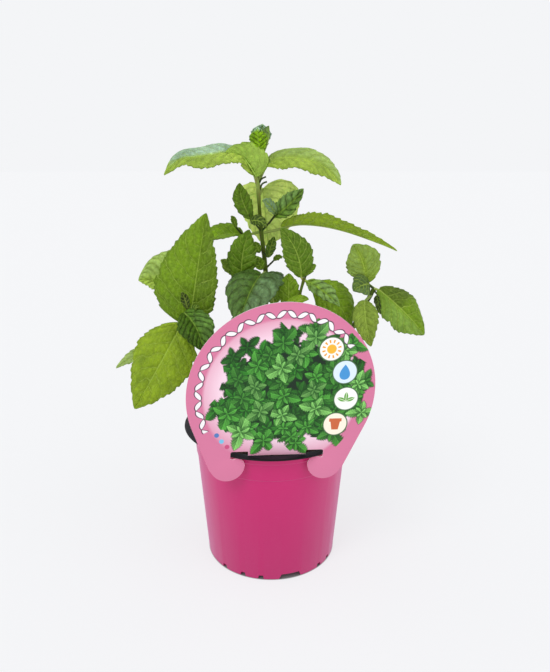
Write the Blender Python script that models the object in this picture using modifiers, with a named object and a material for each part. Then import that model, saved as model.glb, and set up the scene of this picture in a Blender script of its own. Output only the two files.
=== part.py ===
"""A potted spearmint at its real size: a thin nursery pot filled with peat, a flat plant tag that hangs on
the pot's flange by its slot, and five leafy stems that stand in holes in the peat. Each leafy stem is one
piece with its petioles and leaves. Lengths below are millimetres, +Z is up, the front is -Y, and the origin
is the middle of the pot's foot."""

from math import cos, hypot, pi, radians, sin
from typing import NamedTuple

import bmesh
import bpy
from mathutils import Vector

MM = 0.001
GAP = 0.3

# Pot
POT_HEIGHT = 84.0
FLANGE_RADIUS = 52.3
FLANGE_THICK = 0.9
FOOT_RADIUS = 39.7
FOOT_RING = 3.2
FLOOR_UNDER = 4.0
WALL = 0.8
WALL_TAPER = 0.0795
LOW_STEP_Z = 67.5
HIGH_STEP_Z = 78.0
STEP_OUT = 0.45
POT_SEGMENTS = 48
SMALL_NOTCH_WIDTH = 4.2
SMALL_NOTCH_HEIGHT = 2.8
SMALL_NOTCH_SLOPE = 1.2
SMALL_NOTCH_ANGLES = (-44.0, -24.5, -8.5, 46.5, 60.0, 88.0)
WIDE_NOTCH_ANGLES = (6.0, 27.5)
WIDE_NOTCH_HEIGHT = 3.5
WIDE_NOTCH_SLOPE = 3.0
NOTCH_OUTWARDS = 3.0
NOTCH_INWARDS = 2.0
DRAIN_HOLES = 6
DRAIN_RADIUS = 4.0
DRAIN_CIRCLE = 24.0

# Peat
PEAT_TOP = 74.0
PEAT_RINGS = 5
PEAT_SEGMENTS = 36
PEAT_CLEARANCE = 0.4
STEM_DEPTH = 18.0
HOLE_SIDES = 8
HOLE_MARGIN = 1.2
HOLE_MOUTH = 12.0

# Tag
TAG_THICK = 0.6
TAG_BACK = 46.3
TAG_TURN = 3.8
TAG_DISC_RADIUS = 49.4
TAG_DISC_RISE = 34.6
TAG_LEAN = 0.064
TAG_TONGUE = 15.5
SLOT_END = 24.9
SLOT_TOP = 2.7
LOBE_TOP = (20.7, -1.7)
LOBE_BOTTOM = (26.3, -14.6)
LOBE_RADIUS = 9.4
LOBE_CORNER = 4.4
TAG_SIDE = (36.1, -7.6)

# Leaves
BLADE_THICK = 0.62
TOOTH_DEPTH = 0.11
TOOTH_LEAN = 0.35
PETIOLE_RADIUS = 0.8
RIB_SINK = 0.35


class Leaf(NamedTuple):
    """One leaf. joint: where its petiole leaves the stem; base, tip: the ends of the blade; face: the way the
    upper side looks; crest: how far the midrib's middle stands off the straight line from base to tip; fold:
    rise of both edges over the midrib; left, right: more of it for one edge; left_width, right_width: a
    half's share of its full width; wave: height of the edge's waves; widest: the place of the greatest width
    along the blade; teeth: teeth on each edge; cells: strips across the blade; bend: points evenly spaced
    along the midrib between its ends, instead of the crest; heart: how far the shoulders of its base reach
    back past the petiole."""

    joint: tuple
    base: tuple
    tip: tuple
    width: float
    face: tuple
    crest: tuple = (0, 0, 2)
    fold: float = 1.0
    left: float = 0.0
    right: float = 0.0
    left_width: float = 1.0
    right_width: float = 1.0
    wave: float = 0.5
    widest: float = 0.42
    teeth: int = 6
    cells: int = 4
    bend: tuple = ()
    heart: float = 0.0


def small(joint, base, tip, width, face, **more):
    """A young leaf, with fewer teeth and strips."""
    usual = {"teeth": 4, "cells": 2, "crest": (0, 0, 1), "wave": 0.3}
    return Leaf(joint, base, tip, width, face, **{**usual, **more})


def hidden(joint, base, tip, width, **more):
    """A plain level leaf low down or behind, which rises a little and droops to its tip."""
    usual = {"teeth": 5, "cells": 2, "crest": (0, 0, 4)}
    return Leaf(joint, base, tip, width, (0, 0, 1), **{**usual, **more})


# Each leafy stem: its route up from its hole in the peat, as x, y, z and radius, and its leaves.
STEMS = {
    "leafy_stem_main": {
        "foot": (0, 0, 1.7),
        "route": [(-1, -1, 112, 1.6), (-2.6, -1, 150, 1.4), (-3.1, 0, 176, 1.25), (-5.4, 0, 197.5, 1.15),
                  (-6.9, 0, 220, 1.05), (-6.6, 0, 231, 0.95), (-6, 0, 244, 0.8)],
        "leaves": [
            # the top pair
            Leaf((-6.8, 0, 220), (-7.9, -2.8, 228), (-55.6, -16, 228.7), 24, (0, -0.5, 0.87),
                 bend=((-14.6, -4.4, 237.6), (-23, -7, 239.8), (-31.5, -10, 238.6), (-39.6, -12.5, 237.6),
                       (-47.8, -14.3, 236.2)), fold=0.2, left_width=1.05, right_width=0.9, widest=0.5,
                 teeth=8),
            Leaf((-6.7, 0, 225), (-3.6, 0.3, 233.5), (37.4, -8, 223.4), 22, (0, -0.5, 0.87),
                 bend=((2.4, -1, 236.6), (10, -2.2, 237.6), (18.5, -4, 236.6), (26.5, -5.6, 233.8),
                       (32.8, -7, 229.0)), fold=0.2, right_width=1.1, teeth=7),
            # the broad clasping foot of the left one
            small((-6.8, 0, 222.5), (-7.5, -3.3, 227), (-24, -8.2, 240.2), 22.8, (0.12, -0.93, 0.35),
                  bend=((-10.2, -4.2, 232.1), (-13, -5, 235.9), (-15.8, -6, 238.2), (-19.6, -7.1, 239.6)),
                  widest=0.22, left_width=0.12, cells=4, wave=0.1),
            # the rolled bud
            small((-6.3, 0, 234), (-6.4, -0.6, 239), (-7.2, -2.6, 253.2), 10.4, (0.05, 1, 0.1),
                  crest=(0, -2.4, 0), fold=3, widest=0.6),
            small((-6.3, 0, 234), (-5.8, 1.6, 239), (-4.6, 2.4, 254.9), 11.5, (-0.1, -1, 0.1),
                  crest=(0, 2, 0), fold=3, widest=0.78),
            small((-6.3, 0, 234), (-4.8, -0.4, 239.5), (-1.4, -0.6, 253.8), 8, (-1, 0.3, 0.1),
                  crest=(1.4, -0.6, 0), fold=2.5, widest=0.7),
            # the pale leaf behind the stem
            Leaf((-6.8, 0, 217), (-4.6, 6.5, 221.6), (-1.7, 3.6, 188.6), 34, (0, -1, 0.25), crest=(0, 1, 0),
                 fold=-1.0, left_width=1.2, right_width=0.78, widest=0.34, teeth=7, heart=14, wave=0.7),
            # the side shoots at the middle node
            small((-5.4, 0, 198), (-10.6, -8, 205.6), (-16.6, -10, 224.6), 10.5, (-0.15, -0.95, 0.1),
                  crest=(-1.6, 0, 0), fold=1.2, teeth=5, widest=0.5),
            small((-8.8, -5.2, 202.9), (-11.2, -9.5, 204), (-2.2, -14, 201.5), 7.5, (0.1, -0.8, 0.6),
                  crest=(0, 0, 2)),
            small((-5.4, 0, 198), (1.6, -8, 207), (17.4, -9, 221.6), 13, (-0.5, -0.8, 0.3),
                  crest=(0.5, 0, -1), fold=1.5, wave=0.8, teeth=5),
            small((-1, -4.5, 203), (2.9, -10, 208), (-4.6, -13, 215.8), 8, (0.5, -0.7, 0.5)),
            # the long leaf to the right and the short one to the left
            Leaf((-5.2, 0, 197), (5.5, -3, 200.3), (69.1, -10, 188.7), 15, (0, 0.1, 1), crest=(-7, 0, 7),
                 fold=6, wave=0.4, teeth=7),
            Leaf((-5.5, 0, 198), (-15.5, 3, 195.5), (-41, 1, 190), 16.5, (0, -0.45, 0.9), crest=(0, 0, 3),
                 fold=3, cells=2, teeth=5),
            small((-15.5, 3, 195.5), (-19.6, 1.5, 200), (-22.3, 1, 206.5), 3.5, (0.2, -0.9, 0.2)),
            # small leaves along the stem
            small((-4.6, 0, 187), (-1.8, -5, 184), (1.9, -6, 196), 6, (0.3, -0.9, 0.3)),
            small((-4.8, 0, 190), (-6.5, -4, 186.5), (-9, -6, 193), 5, (-0.3, -0.8, 0.4)),
            small((-3.8, 0, 182), (-5, -4, 177), (-9, -6, 185), 6.5, (-0.2, -0.9, 0.3)),
            small((-3.2, 0, 177), (1.5, -1.5, 182), (6.5, -2, 183.5), 3.5, (0.1, -0.9, 0.4)),
            # the upright leaf left of the stem
            Leaf((-3, 0, 168), (-16, -4, 168), (-11.8, -5, 199.6), 17, (0.15, -0.97, 0.2),
                 crest=(-2.2, -1, 0), cells=2, widest=0.52, wave=0.8),
            small((-9, -2, 168.5), (-20, -1, 173.5), (-28.4, -2, 182.5), 7.5, (-0.2, -0.8, 0.5)),
            # the dark leaf in front
            Leaf((-3.1, 0, 175.5), (-5, -11, 176), (-17, -38, 154), 36, (-0.2, -0.7, 0.68),
                 crest=(0, -2, 4), fold=-2.5, left_width=0.78, right_width=0.9, heart=22),
            # leaves lower down and behind
            hidden((-3.1, 0, 175), (-2, 9, 171), (2, 38, 146), 22, crest=(0, 1, 5)),
            hidden((-2.5, -1, 148), (8, 4, 150), (33, 14, 141), 18),
            hidden((-2.5, -1, 148), (-9, 7, 148), (-23, 22, 136), 17),
            hidden((-1.5, -1, 122), (-1, -10, 125), (2, -36, 120), 17),
        ],
    },
    "leafy_stem_left": {
        "foot": (-15, -10, 1.5),
        "route": [(-24, -13, 102, 1.4), (-37, -16, 132, 1.25), (-45.5, -18, 158, 1.0)],
        "leaves": [
            # the broad leaf that faces the front
            Leaf((-45.2, -18, 157), (-45.6, -14.5, 147), (-34.7, -11, 209), 33, (-0.1, -0.98, 0.1),
                 crest=(0, -2, 0), fold=1.5, left_width=1.36, right_width=0.78, widest=0.29, teeth=9),
            # the leaf behind it, to the left
            Leaf((-45.2, -18, 156), (-46, -9, 161), (-76.5, 3, 170), 42, (-0.35, -0.75, 0.55),
                 crest=(0, 0, 4), left_width=0.3, wave=0.8, widest=0.52, teeth=7),
            # the dark folded leaf beside the tag
            Leaf((-45.2, -18, 156), (-47.5, -22, 157), (-37, -30, 137.5), 20, (0.35, -0.75, 0.55),
                 crest=(2.5, -2, 1.5), fold=2.5, right_width=1.1, cells=2),
            # the hanging leaf
            Leaf((-45, -18, 154), (-48.8, -21, 150.5), (-75.6, -30, 103.8), 34, (-0.25, -0.95, -0.1),
                 crest=(1, -3, 1), fold=-1.5, widest=0.38, teeth=7),
            # the small leaf behind it
            small((-33.5, -15.1, 124), (-62, -9, 130), (-88.3, -15, 122.6), 12, (-0.2, -0.5, 0.85),
                  crest=(0, 0, 3), teeth=5),
            # young leaves at the end
            small((-45.5, -18, 157), (-45.5, -19.5, 158), (-48, -22, 168), 5, (0.2, -0.9, 0.3)),
            small((-45.5, -18, 157), (-44, -20, 156), (-38.5, -23, 160), 4.5, (0.1, -0.8, 0.6)),
            # a low pair
            hidden((-24, -13, 102), (-29, -20, 104), (-42, -33, 97), 13),
            hidden((-24, -13, 102), (-27, -4, 106), (-38, 20, 104), 15),
        ],
    },
    "leafy_stem_middle": {
        "foot": (9, -14, 1.4),
        "route": [(11, -17, 110, 1.2), (13.5, -19.5, 150, 1.0), (15.6, -20, 166, 0.85),
                  (18, -20, 175.5, 0.8)],
        "leaves": [
            # the upright leaf right of the main stem
            Leaf((17.5, -20, 174), (16.2, -20, 175.5), (4.9, -18, 201.5), 17.5, (0.3, -0.93, 0.2),
                 crest=(2.8, -1, 1)),
            # the quilted leaf and the broad one behind it
            Leaf((17.8, -20, 174.5), (19, -21.5, 174), (36, -32, 162.5), 12.5, (0.3, -0.6, 0.74),
                 crest=(0, 0, 1), cells=2),
            Leaf((17.8, -20, 174.5), (23, -13, 169.5), (44, -13, 145), 24, (0.35, -0.85, 0.4),
                 crest=(3.5, -1, 2.5), fold=-1.5),
            # young leaves at the end
            small((18, -20, 175), (18.5, -20, 176.5), (24.3, -18, 182), 5.5, (-0.3, -0.8, 0.5)),
            small((18, -20, 175), (18.5, -18.5, 176), (20.5, -15.5, 183.5), 4.5, (-0.2, -0.9, 0.3)),
            # the leaves that stand behind the tag's top
            small((13, -19.5, 147), (9.7, -20, 155), (9.7, -17, 177.4), 12, (-0.1, -0.98, 0.1), teeth=5,
                  widest=0.58),
            small((13, -19.5, 148), (8, -25, 160), (20, -28, 165.5), 9, (0.1, -0.6, 0.8)),
            # a low pair
            hidden((11, -17, 108), (14, -24, 110), (19, -40, 105), 13, crest=(0, 0, 3)),
            hidden((11, -17, 108), (18, -16, 111), (40, -19, 110), 14),
        ],
    },
    "leafy_stem_right": {
        "foot": (22, 0, 1.5),
        "route": [(29, -2, 102, 1.4), (41, -6, 132, 1.25), (51, -9, 154, 1.1), (57, -12, 168, 0.9)],
        "leaves": [
            # the round leaf and the small dark one below it
            Leaf((57, -12, 168), (52.5, -12, 171), (44.8, -9, 192), 20.5, (0.1, -0.98, 0.15),
                 crest=(1.5, -1, 1), widest=0.5, teeth=5, wave=0.8),
            small((57, -12, 168), (54, -14.5, 171), (44.5, -19, 168), 14, (-0.1, -0.9, 0.4)),
            # the big leaf at the right
            Leaf((57, -12, 168), (59, -13, 168), (86.2, -14, 142), 24, (0.3, -0.85, 0.45),
                 crest=(0.8, -2, 0.8), fold=-1.5, widest=0.46, teeth=7),
            # the narrow dark leaf, nearly edge-on
            small((57, -12, 167), (58.5, -14, 165), (60, -19, 155), 6, (-0.9, -0.3, 0.2)),
            # the hanging leaf
            Leaf((55.5, -11.5, 164), (51.5, -17, 162.5), (54.8, -24, 138), 15, (0, -0.95, 0.25),
                 crest=(-1.5, -1, 2), cells=2),
            # a low pair
            hidden((29, -2, 102), (35, -8, 104), (46, -24, 99), 14),
            hidden((29, -2, 102), (33, 5, 105), (46, 26, 99), 16),
        ],
    },
    "leafy_stem_back": {
        "foot": (-4, 22, 1.4),
        "route": [(-5, 25, 100, 1.2), (-6, 29, 126, 0.9)],
        "leaves": [
            hidden((-5, 25, 99), (2, 27, 101), (26, 36, 97), 17),
            hidden((-5, 25, 99), (-11, 28, 101), (-32, 40, 96), 17),
            hidden((-6, 28, 124), (-6, 33, 126), (-3, 52, 120), 16),
            hidden((-6, 28, 124), (-8, 24, 127), (-13, 8, 129), 12, crest=(0, 0, 2.5)),
            small((-6, 29, 126), (-6, 29.5, 127), (-3, 31, 136), 6, (0, -0.9, 0.2), fold=1.5),
            small((-6, 29, 126), (-6.5, 28.5, 127), (-10, 26, 135), 5.5, (0.4, 0.9, 0.2), fold=1.5),
        ],
    },
}


def material(name, colour, roughness):
    """A Principled BSDF in one colour, given as linear red, green and blue."""
    made = bpy.data.materials.new(name)
    made.use_nodes = True
    shader = made.node_tree.nodes["Principled BSDF"]
    shader.inputs["Base Color"].default_value = (*colour, 1.0)
    shader.inputs["Roughness"].default_value = roughness
    return made


def add_object(name, mesh, collection, finish=None):
    made = bpy.data.objects.new(name, mesh)
    collection.objects.link(made)
    if finish:
        mesh.materials.append(finish)
    return made


def applied(made):
    """The object's mesh with its modifiers applied, welded and with no modifiers left."""
    graph = bpy.context.evaluated_depsgraph_get()
    mesh = bpy.data.meshes.new_from_object(made.evaluated_get(graph))
    shape = bmesh.new()
    shape.from_mesh(mesh)
    bmesh.ops.remove_doubles(shape, verts=shape.verts, dist=1e-6)
    shape.to_mesh(mesh)
    shape.free()
    return mesh


def profile_mesh(name, points):
    """An open line through (radius, height) points, ready to be turned about the Z axis."""
    shape = bmesh.new()
    corners = [shape.verts.new((radius * MM, 0, height * MM)) for radius, height in points]
    for first, second in zip(corners, corners[1:]):
        shape.edges.new((first, second))
    mesh = bpy.data.meshes.new(name)
    shape.to_mesh(mesh)
    shape.free()
    return mesh


def turn(made, segments):
    screw = made.modifiers.new("turn", "SCREW")
    screw.steps = screw.render_steps = segments
    screw.use_merge_vertices = True
    screw.merge_threshold = 1e-5


def wall_radius(height):
    """Outer radius of the pot's wall below the low step."""
    return FOOT_RADIUS + WALL_TAPER * height


def pot_profile():
    """From the middle of the floor up the inside, over the flange, down the outside and under the floor."""
    low, high = LOW_STEP_Z, HIGH_STEP_Z
    low_radius = wall_radius(low)
    band_radius = low_radius + STEP_OUT
    band_top = band_radius + WALL_TAPER * (high - low)
    neck = band_top + STEP_OUT
    neck_top = neck + WALL_TAPER * (POT_HEIGHT - high)
    floor = FLOOR_UNDER + WALL
    under = POT_HEIGHT - FLANGE_THICK
    return [
        (0, floor),
        (wall_radius(floor) - WALL, floor),
        (low_radius - WALL, low - 0.3),
        (band_radius - WALL, low + 0.5),
        (band_top - WALL, high - 0.3),
        (neck - WALL, high + 0.5),
        (neck_top - WALL, POT_HEIGHT - 0.8),
        (neck_top, POT_HEIGHT),
        (FLANGE_RADIUS - 0.3, POT_HEIGHT),
        (FLANGE_RADIUS, POT_HEIGHT - 0.3),
        (FLANGE_RADIUS, under + 0.2),
        (FLANGE_RADIUS - 0.2, under),
        (neck_top + 0.5, under),
        (neck_top, under - 0.5),
        (neck, high + 0.3),
        (band_top, high - 0.3),
        (band_radius, low + 0.3),
        (low_radius, low - 0.3),
        (wall_radius(0.5), 0.5),
        (FOOT_RADIUS - 0.4, 0),
        (FOOT_RADIUS - FOOT_RING, 0),
        (FOOT_RADIUS - FOOT_RING - 0.5, FLOOR_UNDER),
        (0, FLOOR_UNDER),
    ]


def around(radius, degrees):
    """A point at this angle from the front, which grows to the right."""
    angle = radians(degrees)
    return radius * sin(angle), -radius * cos(angle)


def add_cutter(name, mesh, cutters):
    made = add_object(name, mesh, cutters)
    made.display_type = "WIRE"
    made.hide_render = True
    return made


def wedge_mesh(name, angles, height, slope):
    """A cutter for a foot notch between two angles in degrees, narrower at its top by slope on each side."""
    shape = bmesh.new()
    middle = sum(angles) / 2
    half = (angles[1] - angles[0]) / 2
    bmesh.ops.create_cube(shape, size=1)
    for corner in shape.verts:
        side = -1 if corner.co.x < 0 else 1
        up = corner.co.z > 0
        reach = FOOT_RADIUS + NOTCH_OUTWARDS if corner.co.y < 0 else FOOT_RADIUS - FOOT_RING - NOTCH_INWARDS
        x, y = around(reach, middle + side * (half - (slope if up else 0)))
        corner.co = Vector((x, y, height if up else -1)) * MM
    shape.normal_update()
    bmesh.ops.recalc_face_normals(shape, faces=shape.faces)
    mesh = bpy.data.meshes.new(name)
    shape.to_mesh(mesh)
    shape.free()
    return mesh


def build_pot(parts, cutters, finish):
    pot = add_object("pot", profile_mesh("pot", pot_profile()), parts, finish)
    turn(pot, POT_SEGMENTS)
    half = SMALL_NOTCH_WIDTH / FOOT_RADIUS * 90 / pi
    for turned in (0, 180):
        for angle in SMALL_NOTCH_ANGLES:
            middle = angle + turned
            mesh = wedge_mesh("notch", (middle - half, middle + half), SMALL_NOTCH_HEIGHT, SMALL_NOTCH_SLOPE)
            add_cutter("notch", mesh, cutters)
        start, end = WIDE_NOTCH_ANGLES
        mesh = wedge_mesh("notch", (start + turned, end + turned), WIDE_NOTCH_HEIGHT, WIDE_NOTCH_SLOPE)
        add_cutter("notch", mesh, cutters)
    for place in range(DRAIN_HOLES):
        x, y = around(DRAIN_CIRCLE, 360 / DRAIN_HOLES * place)
        shape = bmesh.new()
        bmesh.ops.create_cone(shape, cap_ends=True, segments=12, radius1=DRAIN_RADIUS * MM,
                              radius2=DRAIN_RADIUS * MM, depth=4 * WALL * MM)
        bmesh.ops.translate(shape, verts=shape.verts, vec=Vector((x, y, FLOOR_UNDER + WALL / 2)) * MM)
        mesh = bpy.data.meshes.new("drain")
        shape.to_mesh(mesh)
        shape.free()
        add_cutter("drain", mesh, cutters)
    cut = pot.modifiers.new("notches and drains", "BOOLEAN")
    cut.operation = "DIFFERENCE"
    cut.operand_type = "COLLECTION"
    cut.collection = cutters
    cut.solver = "EXACT"


def peat_profile():
    """The peat's outline from the middle of its top outwards and down to the floor."""
    band_radius = wall_radius(LOW_STEP_Z) - WALL + STEP_OUT - PEAT_CLEARANCE
    top_radius = band_radius + WALL_TAPER * (PEAT_TOP - LOW_STEP_Z)
    top = [(top_radius * ring / PEAT_RINGS, PEAT_TOP) for ring in range(PEAT_RINGS + 1)]
    floor = FLOOR_UNDER + WALL + GAP
    low = LOW_STEP_Z - 0.6
    return top + [
        (band_radius, LOW_STEP_Z + 0.9),
        (wall_radius(low) - WALL - GAP, low),
        (wall_radius(floor) - WALL - GAP, floor),
        (0, floor),
    ]


def peat_lift(x, y):
    """Height of the peat's mounds over its level, in millimetres."""
    mounds = 1.3 * sin(x * 0.21 + 0.6) * cos(y * 0.17) + 0.8 * sin(x * 0.37 - y * 0.29)
    return mounds * max(0.0, 1 - (hypot(x, y) / 44) ** 4)


def build_peat(parts, holes, finish):
    peat = add_object("peat", profile_mesh("peat", peat_profile()), parts, finish)
    turn(peat, PEAT_SEGMENTS)
    peat.data = applied(peat)
    peat.modifiers.clear()
    for corner in peat.data.vertices:
        if corner.co.z > (PEAT_TOP - 1) * MM:
            corner.co.z += peat_lift(corner.co.x / MM, corner.co.y / MM) * MM
    for plan in STEMS.values():
        x, y, radius = plan["foot"]
        shape = bmesh.new()
        size = (radius * HOLE_MARGIN + GAP) * MM
        bmesh.ops.create_cone(shape, cap_ends=True, segments=HOLE_SIDES, radius1=size, radius2=size,
                              depth=(STEM_DEPTH + HOLE_MOUTH) * MM)
        lift = PEAT_TOP - GAP + (HOLE_MOUTH - STEM_DEPTH) / 2
        bmesh.ops.translate(shape, verts=shape.verts, vec=Vector((x, y, lift)) * MM)
        mesh = bpy.data.meshes.new("stem hole")
        shape.to_mesh(mesh)
        shape.free()
        add_cutter("stem hole", mesh, holes)
    cut = peat.modifiers.new("stem holes", "BOOLEAN")
    cut.operation = "DIFFERENCE"
    cut.operand_type = "COLLECTION"
    cut.collection = holes
    cut.solver = "EXACT"


def arc(middle, radius, start, end, steps):
    """Points along an arc, from one angle to another in degrees."""
    turns = [radians(start + (end - start) * step / steps) for step in range(steps + 1)]
    return [(middle[0] + radius * cos(turned), middle[1] + radius * sin(turned)) for turned in turns]


def tag_half():
    """The right half of the tag's outline, from the top of the disc round to the tongue's edge, measured
    from the tongue's middle line and the flange's top."""
    disc = (0, TAG_DISC_RISE)
    lobe_middle = (LOBE_BOTTOM[0], LOBE_BOTTOM[1] + LOBE_RADIUS)
    points = arc(disc, TAG_DISC_RADIUS, 90, -22, 22)
    points.append(TAG_SIDE)
    points += arc(lobe_middle, LOBE_RADIUS, -28, -180, 12)
    points += arc((LOBE_TOP[0] + 0.6, LOBE_TOP[1] - LOBE_CORNER + 0.4), LOBE_CORNER, 165, 60, 5)
    points += [(SLOT_END, -1.4), (SLOT_END, SLOT_TOP - 1), (SLOT_END - 1, SLOT_TOP)]
    points += [(TAG_TONGUE + 0.4, SLOT_TOP), (TAG_TONGUE, SLOT_TOP - 0.4), (TAG_TONGUE, GAP)]
    return points


def build_tag(parts, finish):
    """A flat curve, extruded to the plate's thickness and stood up at its place on the flange."""
    right = tag_half()
    left = [(-x, z) for x, z in reversed(right) if x > 1e-6]
    curve = bpy.data.curves.new("tag", "CURVE")
    curve.dimensions = "2D"
    curve.fill_mode = "BOTH"
    curve.extrude = TAG_THICK / 2 * MM
    line = curve.splines.new("POLY")
    outline = right + left
    line.points.add(len(outline) - 1)
    line.use_cyclic_u = True
    for point, (x, z) in zip(line.points, outline):
        point.co = ((x + TAG_LEAN * z) * MM, (z + POT_HEIGHT) * MM, 0, 1)
    guide = add_object("tag outline", curve, parts)
    x, y = around(TAG_BACK + TAG_THICK / 2, TAG_TURN)
    guide.rotation_euler = (pi / 2, 0, radians(TAG_TURN))
    guide.location = (x * MM, y * MM, 0)
    bpy.context.view_layer.update()
    tag = add_object("tag", applied(guide), parts, finish)
    tag.matrix_world = guide.matrix_world.copy()
    bpy.data.objects.remove(guide)


def outline_width(share, widest):
    """Half width of an ovate blade at this share of its length, 1 at its widest."""
    if share < widest:
        return sin(pi / 2 * (share / widest)) ** 0.62
    return max(cos(pi / 2 * ((share - widest) / (1 - widest))), 0) ** 0.85


def along_curve(points, share):
    """The place, and the way onward, at this share of a smooth curve through evenly spaced points."""
    points = [Vector(point) for point in points]
    points = [2 * points[0] - points[1], *points, 2 * points[-1] - points[-2]]
    reach = min(share, 0.9999) * (len(points) - 3)
    number = int(reach)
    t = reach - number
    before, first, second, after = points[number:number + 4]
    slope = second - before
    square = 2 * before - 5 * first + 4 * second - after
    cube = 3 * first - before - 3 * second + after
    place = first + 0.5 * (slope * t + square * t ** 2 + cube * t ** 3)
    return place, slope + 2 * square * t + 3 * cube * t ** 2


def leaf_axes(leaf, share):
    """At this share of the blade: a point on the midrib, the way to its right edge, the way its top looks."""
    base, tip, crest = Vector(leaf.base), Vector(leaf.tip), Vector(leaf.crest)
    chord = tip - base
    middle = base + chord * share + crest * (4 * share * (1 - share))
    tangent = chord + 4 * (1 - 2 * share) * crest
    if leaf.bend:
        middle, tangent = along_curve((leaf.base, *leaf.bend, leaf.tip), share)
    tangent = tangent.normalized()
    face = Vector(leaf.face)
    face = (face - tangent * face.dot(tangent)).normalized()
    return middle, tangent.cross(face), face


def blade_point(leaf, share, across):
    """The blade's middle surface, from 0 at its base to 1 at its tip and from -1 to 1 across."""
    middle, side, up = leaf_axes(leaf, share)
    is_right = across > 0
    width = outline_width(share, leaf.widest)
    half = leaf.width / 2 * width * (leaf.right_width if is_right else leaf.left_width)
    edge = abs(across) ** 1.5 * width
    rise = (leaf.fold + (leaf.right if is_right else leaf.left)) * edge
    ripple = leaf.wave * sin(share * leaf.teeth * 2.1 + (1.3 if is_right else 0)) * edge
    puff = 0.045 * leaf.width * sin(pi * abs(across)) * width
    back = up.cross(side) * (leaf.heart * abs(across) * width * (1 - share) ** 2)
    return middle + side * (across * half) + up * (rise + ripple + puff) - back


def blade_mesh(leaf):
    """A grid mapped onto the blade, with a tooth at every second row of its edges."""
    rows = 2 * leaf.teeth
    shape = bmesh.new()
    bmesh.ops.create_grid(shape, x_segments=rows, y_segments=leaf.cells, size=0.5)
    for corner in shape.verts:
        row = round((corner.co.x + 0.5) * rows)
        across = round(corner.co.y * 2 * leaf.cells) / leaf.cells
        is_tooth = row % 2 == 1
        share = (row + (TOOTH_LEAN if is_tooth else 0)) / rows
        if abs(across) > 0.99 and not is_tooth:
            across *= 1 - TOOTH_DEPTH
        corner.co = blade_point(leaf, max(share, 0.012), across) * MM
    bmesh.ops.remove_doubles(shape, verts=shape.verts, dist=1e-5)
    bmesh.ops.triangulate(shape, faces=shape.faces, quad_method="SHORT_EDGE")
    mesh = bpy.data.meshes.new("blade")
    shape.to_mesh(mesh)
    shape.free()
    return mesh


def tube(name, route, collection):
    """A closed tube through (x, y, z, radius) points. Its section is square, as a mint stem's."""
    curve = bpy.data.curves.new(name, "CURVE")
    curve.dimensions = "3D"
    curve.bevel_depth = MM
    curve.bevel_resolution = 0
    curve.use_fill_caps = True
    line = curve.splines.new("POLY")
    line.points.add(len(route) - 1)
    for point, (x, y, z, radius) in zip(line.points, route):
        point.co = (x * MM, y * MM, z * MM, 1)
        point.radius = radius
    guide = add_object(name + " line", curve, collection)
    bpy.context.view_layer.update()
    made = add_object(name, applied(guide), collection)
    made.matrix_world = guide.matrix_world.copy()
    bpy.data.objects.remove(guide)
    return made


def petiole_route(leaf):
    """From inside the stem to the blade's base and on along the underside of its midrib."""
    size = PETIOLE_RADIUS * (0.75 if leaf.cells == 2 else 1.0)
    route = [(*leaf.joint, size)]
    for share, slimmer in ((0.03, 0.85), (0.3, 0.5)):
        middle, _, up = leaf_axes(leaf, share)
        route.append((*(middle - up * RIB_SINK * slimmer), size * slimmer))
    return route


def build_stem(name, plan, parts, finish):
    """One leafy stem: the tube of its stem joined with its petioles and blades by one Boolean union."""
    repeats = bpy.data.collections.new(name + " pieces")
    bpy.context.scene.collection.children.link(repeats)
    x, y, radius = plan["foot"]
    in_peat = [(x, y, PEAT_TOP - STEM_DEPTH, radius), (x, y, PEAT_TOP + 4, radius)]
    stem = tube(name, in_peat + plan["route"], parts)
    stem.data.materials.append(finish)
    for leaf in plan["leaves"]:
        tube("petiole", petiole_route(leaf), repeats)
        blade = add_object("blade", blade_mesh(leaf), repeats)
        shell = blade.modifiers.new("thickness", "SOLIDIFY")
        shell.thickness = BLADE_THICK * MM
        shell.offset = 0
    join = stem.modifiers.new("leaves", "BOOLEAN")
    join.operation = "UNION"
    join.operand_type = "COLLECTION"
    join.collection = repeats
    join.solver = "MANIFOLD"
    bpy.context.view_layer.update()
    joined = applied(stem)
    stem.modifiers.clear()
    stem.data = joined
    for made in list(repeats.objects):
        bpy.data.objects.remove(made)
    bpy.data.collections.remove(repeats)


def main():
    for old in list(bpy.data.objects):
        bpy.data.objects.remove(old)
    collections = {}
    for name in ("potted_spearmint", "foot cutters", "peat cutters"):
        collections[name] = bpy.data.collections.new(name)
        bpy.context.scene.collection.children.link(collections[name])
    parts = collections["potted_spearmint"]
    foliage = material("mint leaf", (0.14, 0.25, 0.022), 0.5)
    for name, plan in STEMS.items():
        build_stem(name, plan, parts, foliage)
    build_tag(parts, material("tag plastic", (0.74, 0.22, 0.38), 0.3))
    build_peat(parts, collections["peat cutters"], material("peat", (0.03, 0.019, 0.012), 0.95))
    build_pot(parts, collections["foot cutters"], material("pot plastic", (0.53, 0.036, 0.16), 0.35))


main()
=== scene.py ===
"""Looks of the potted spearmint: fine leaves, stalks, pot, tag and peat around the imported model. Sizes are
millimetres, +Z is up and the front is -Y, as in the model."""

from math import cos, exp, floor, hypot, pi, radians, sin
from random import Random
from typing import NamedTuple

import bmesh
import bpy
from mathutils import Matrix, Vector, noise


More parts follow.
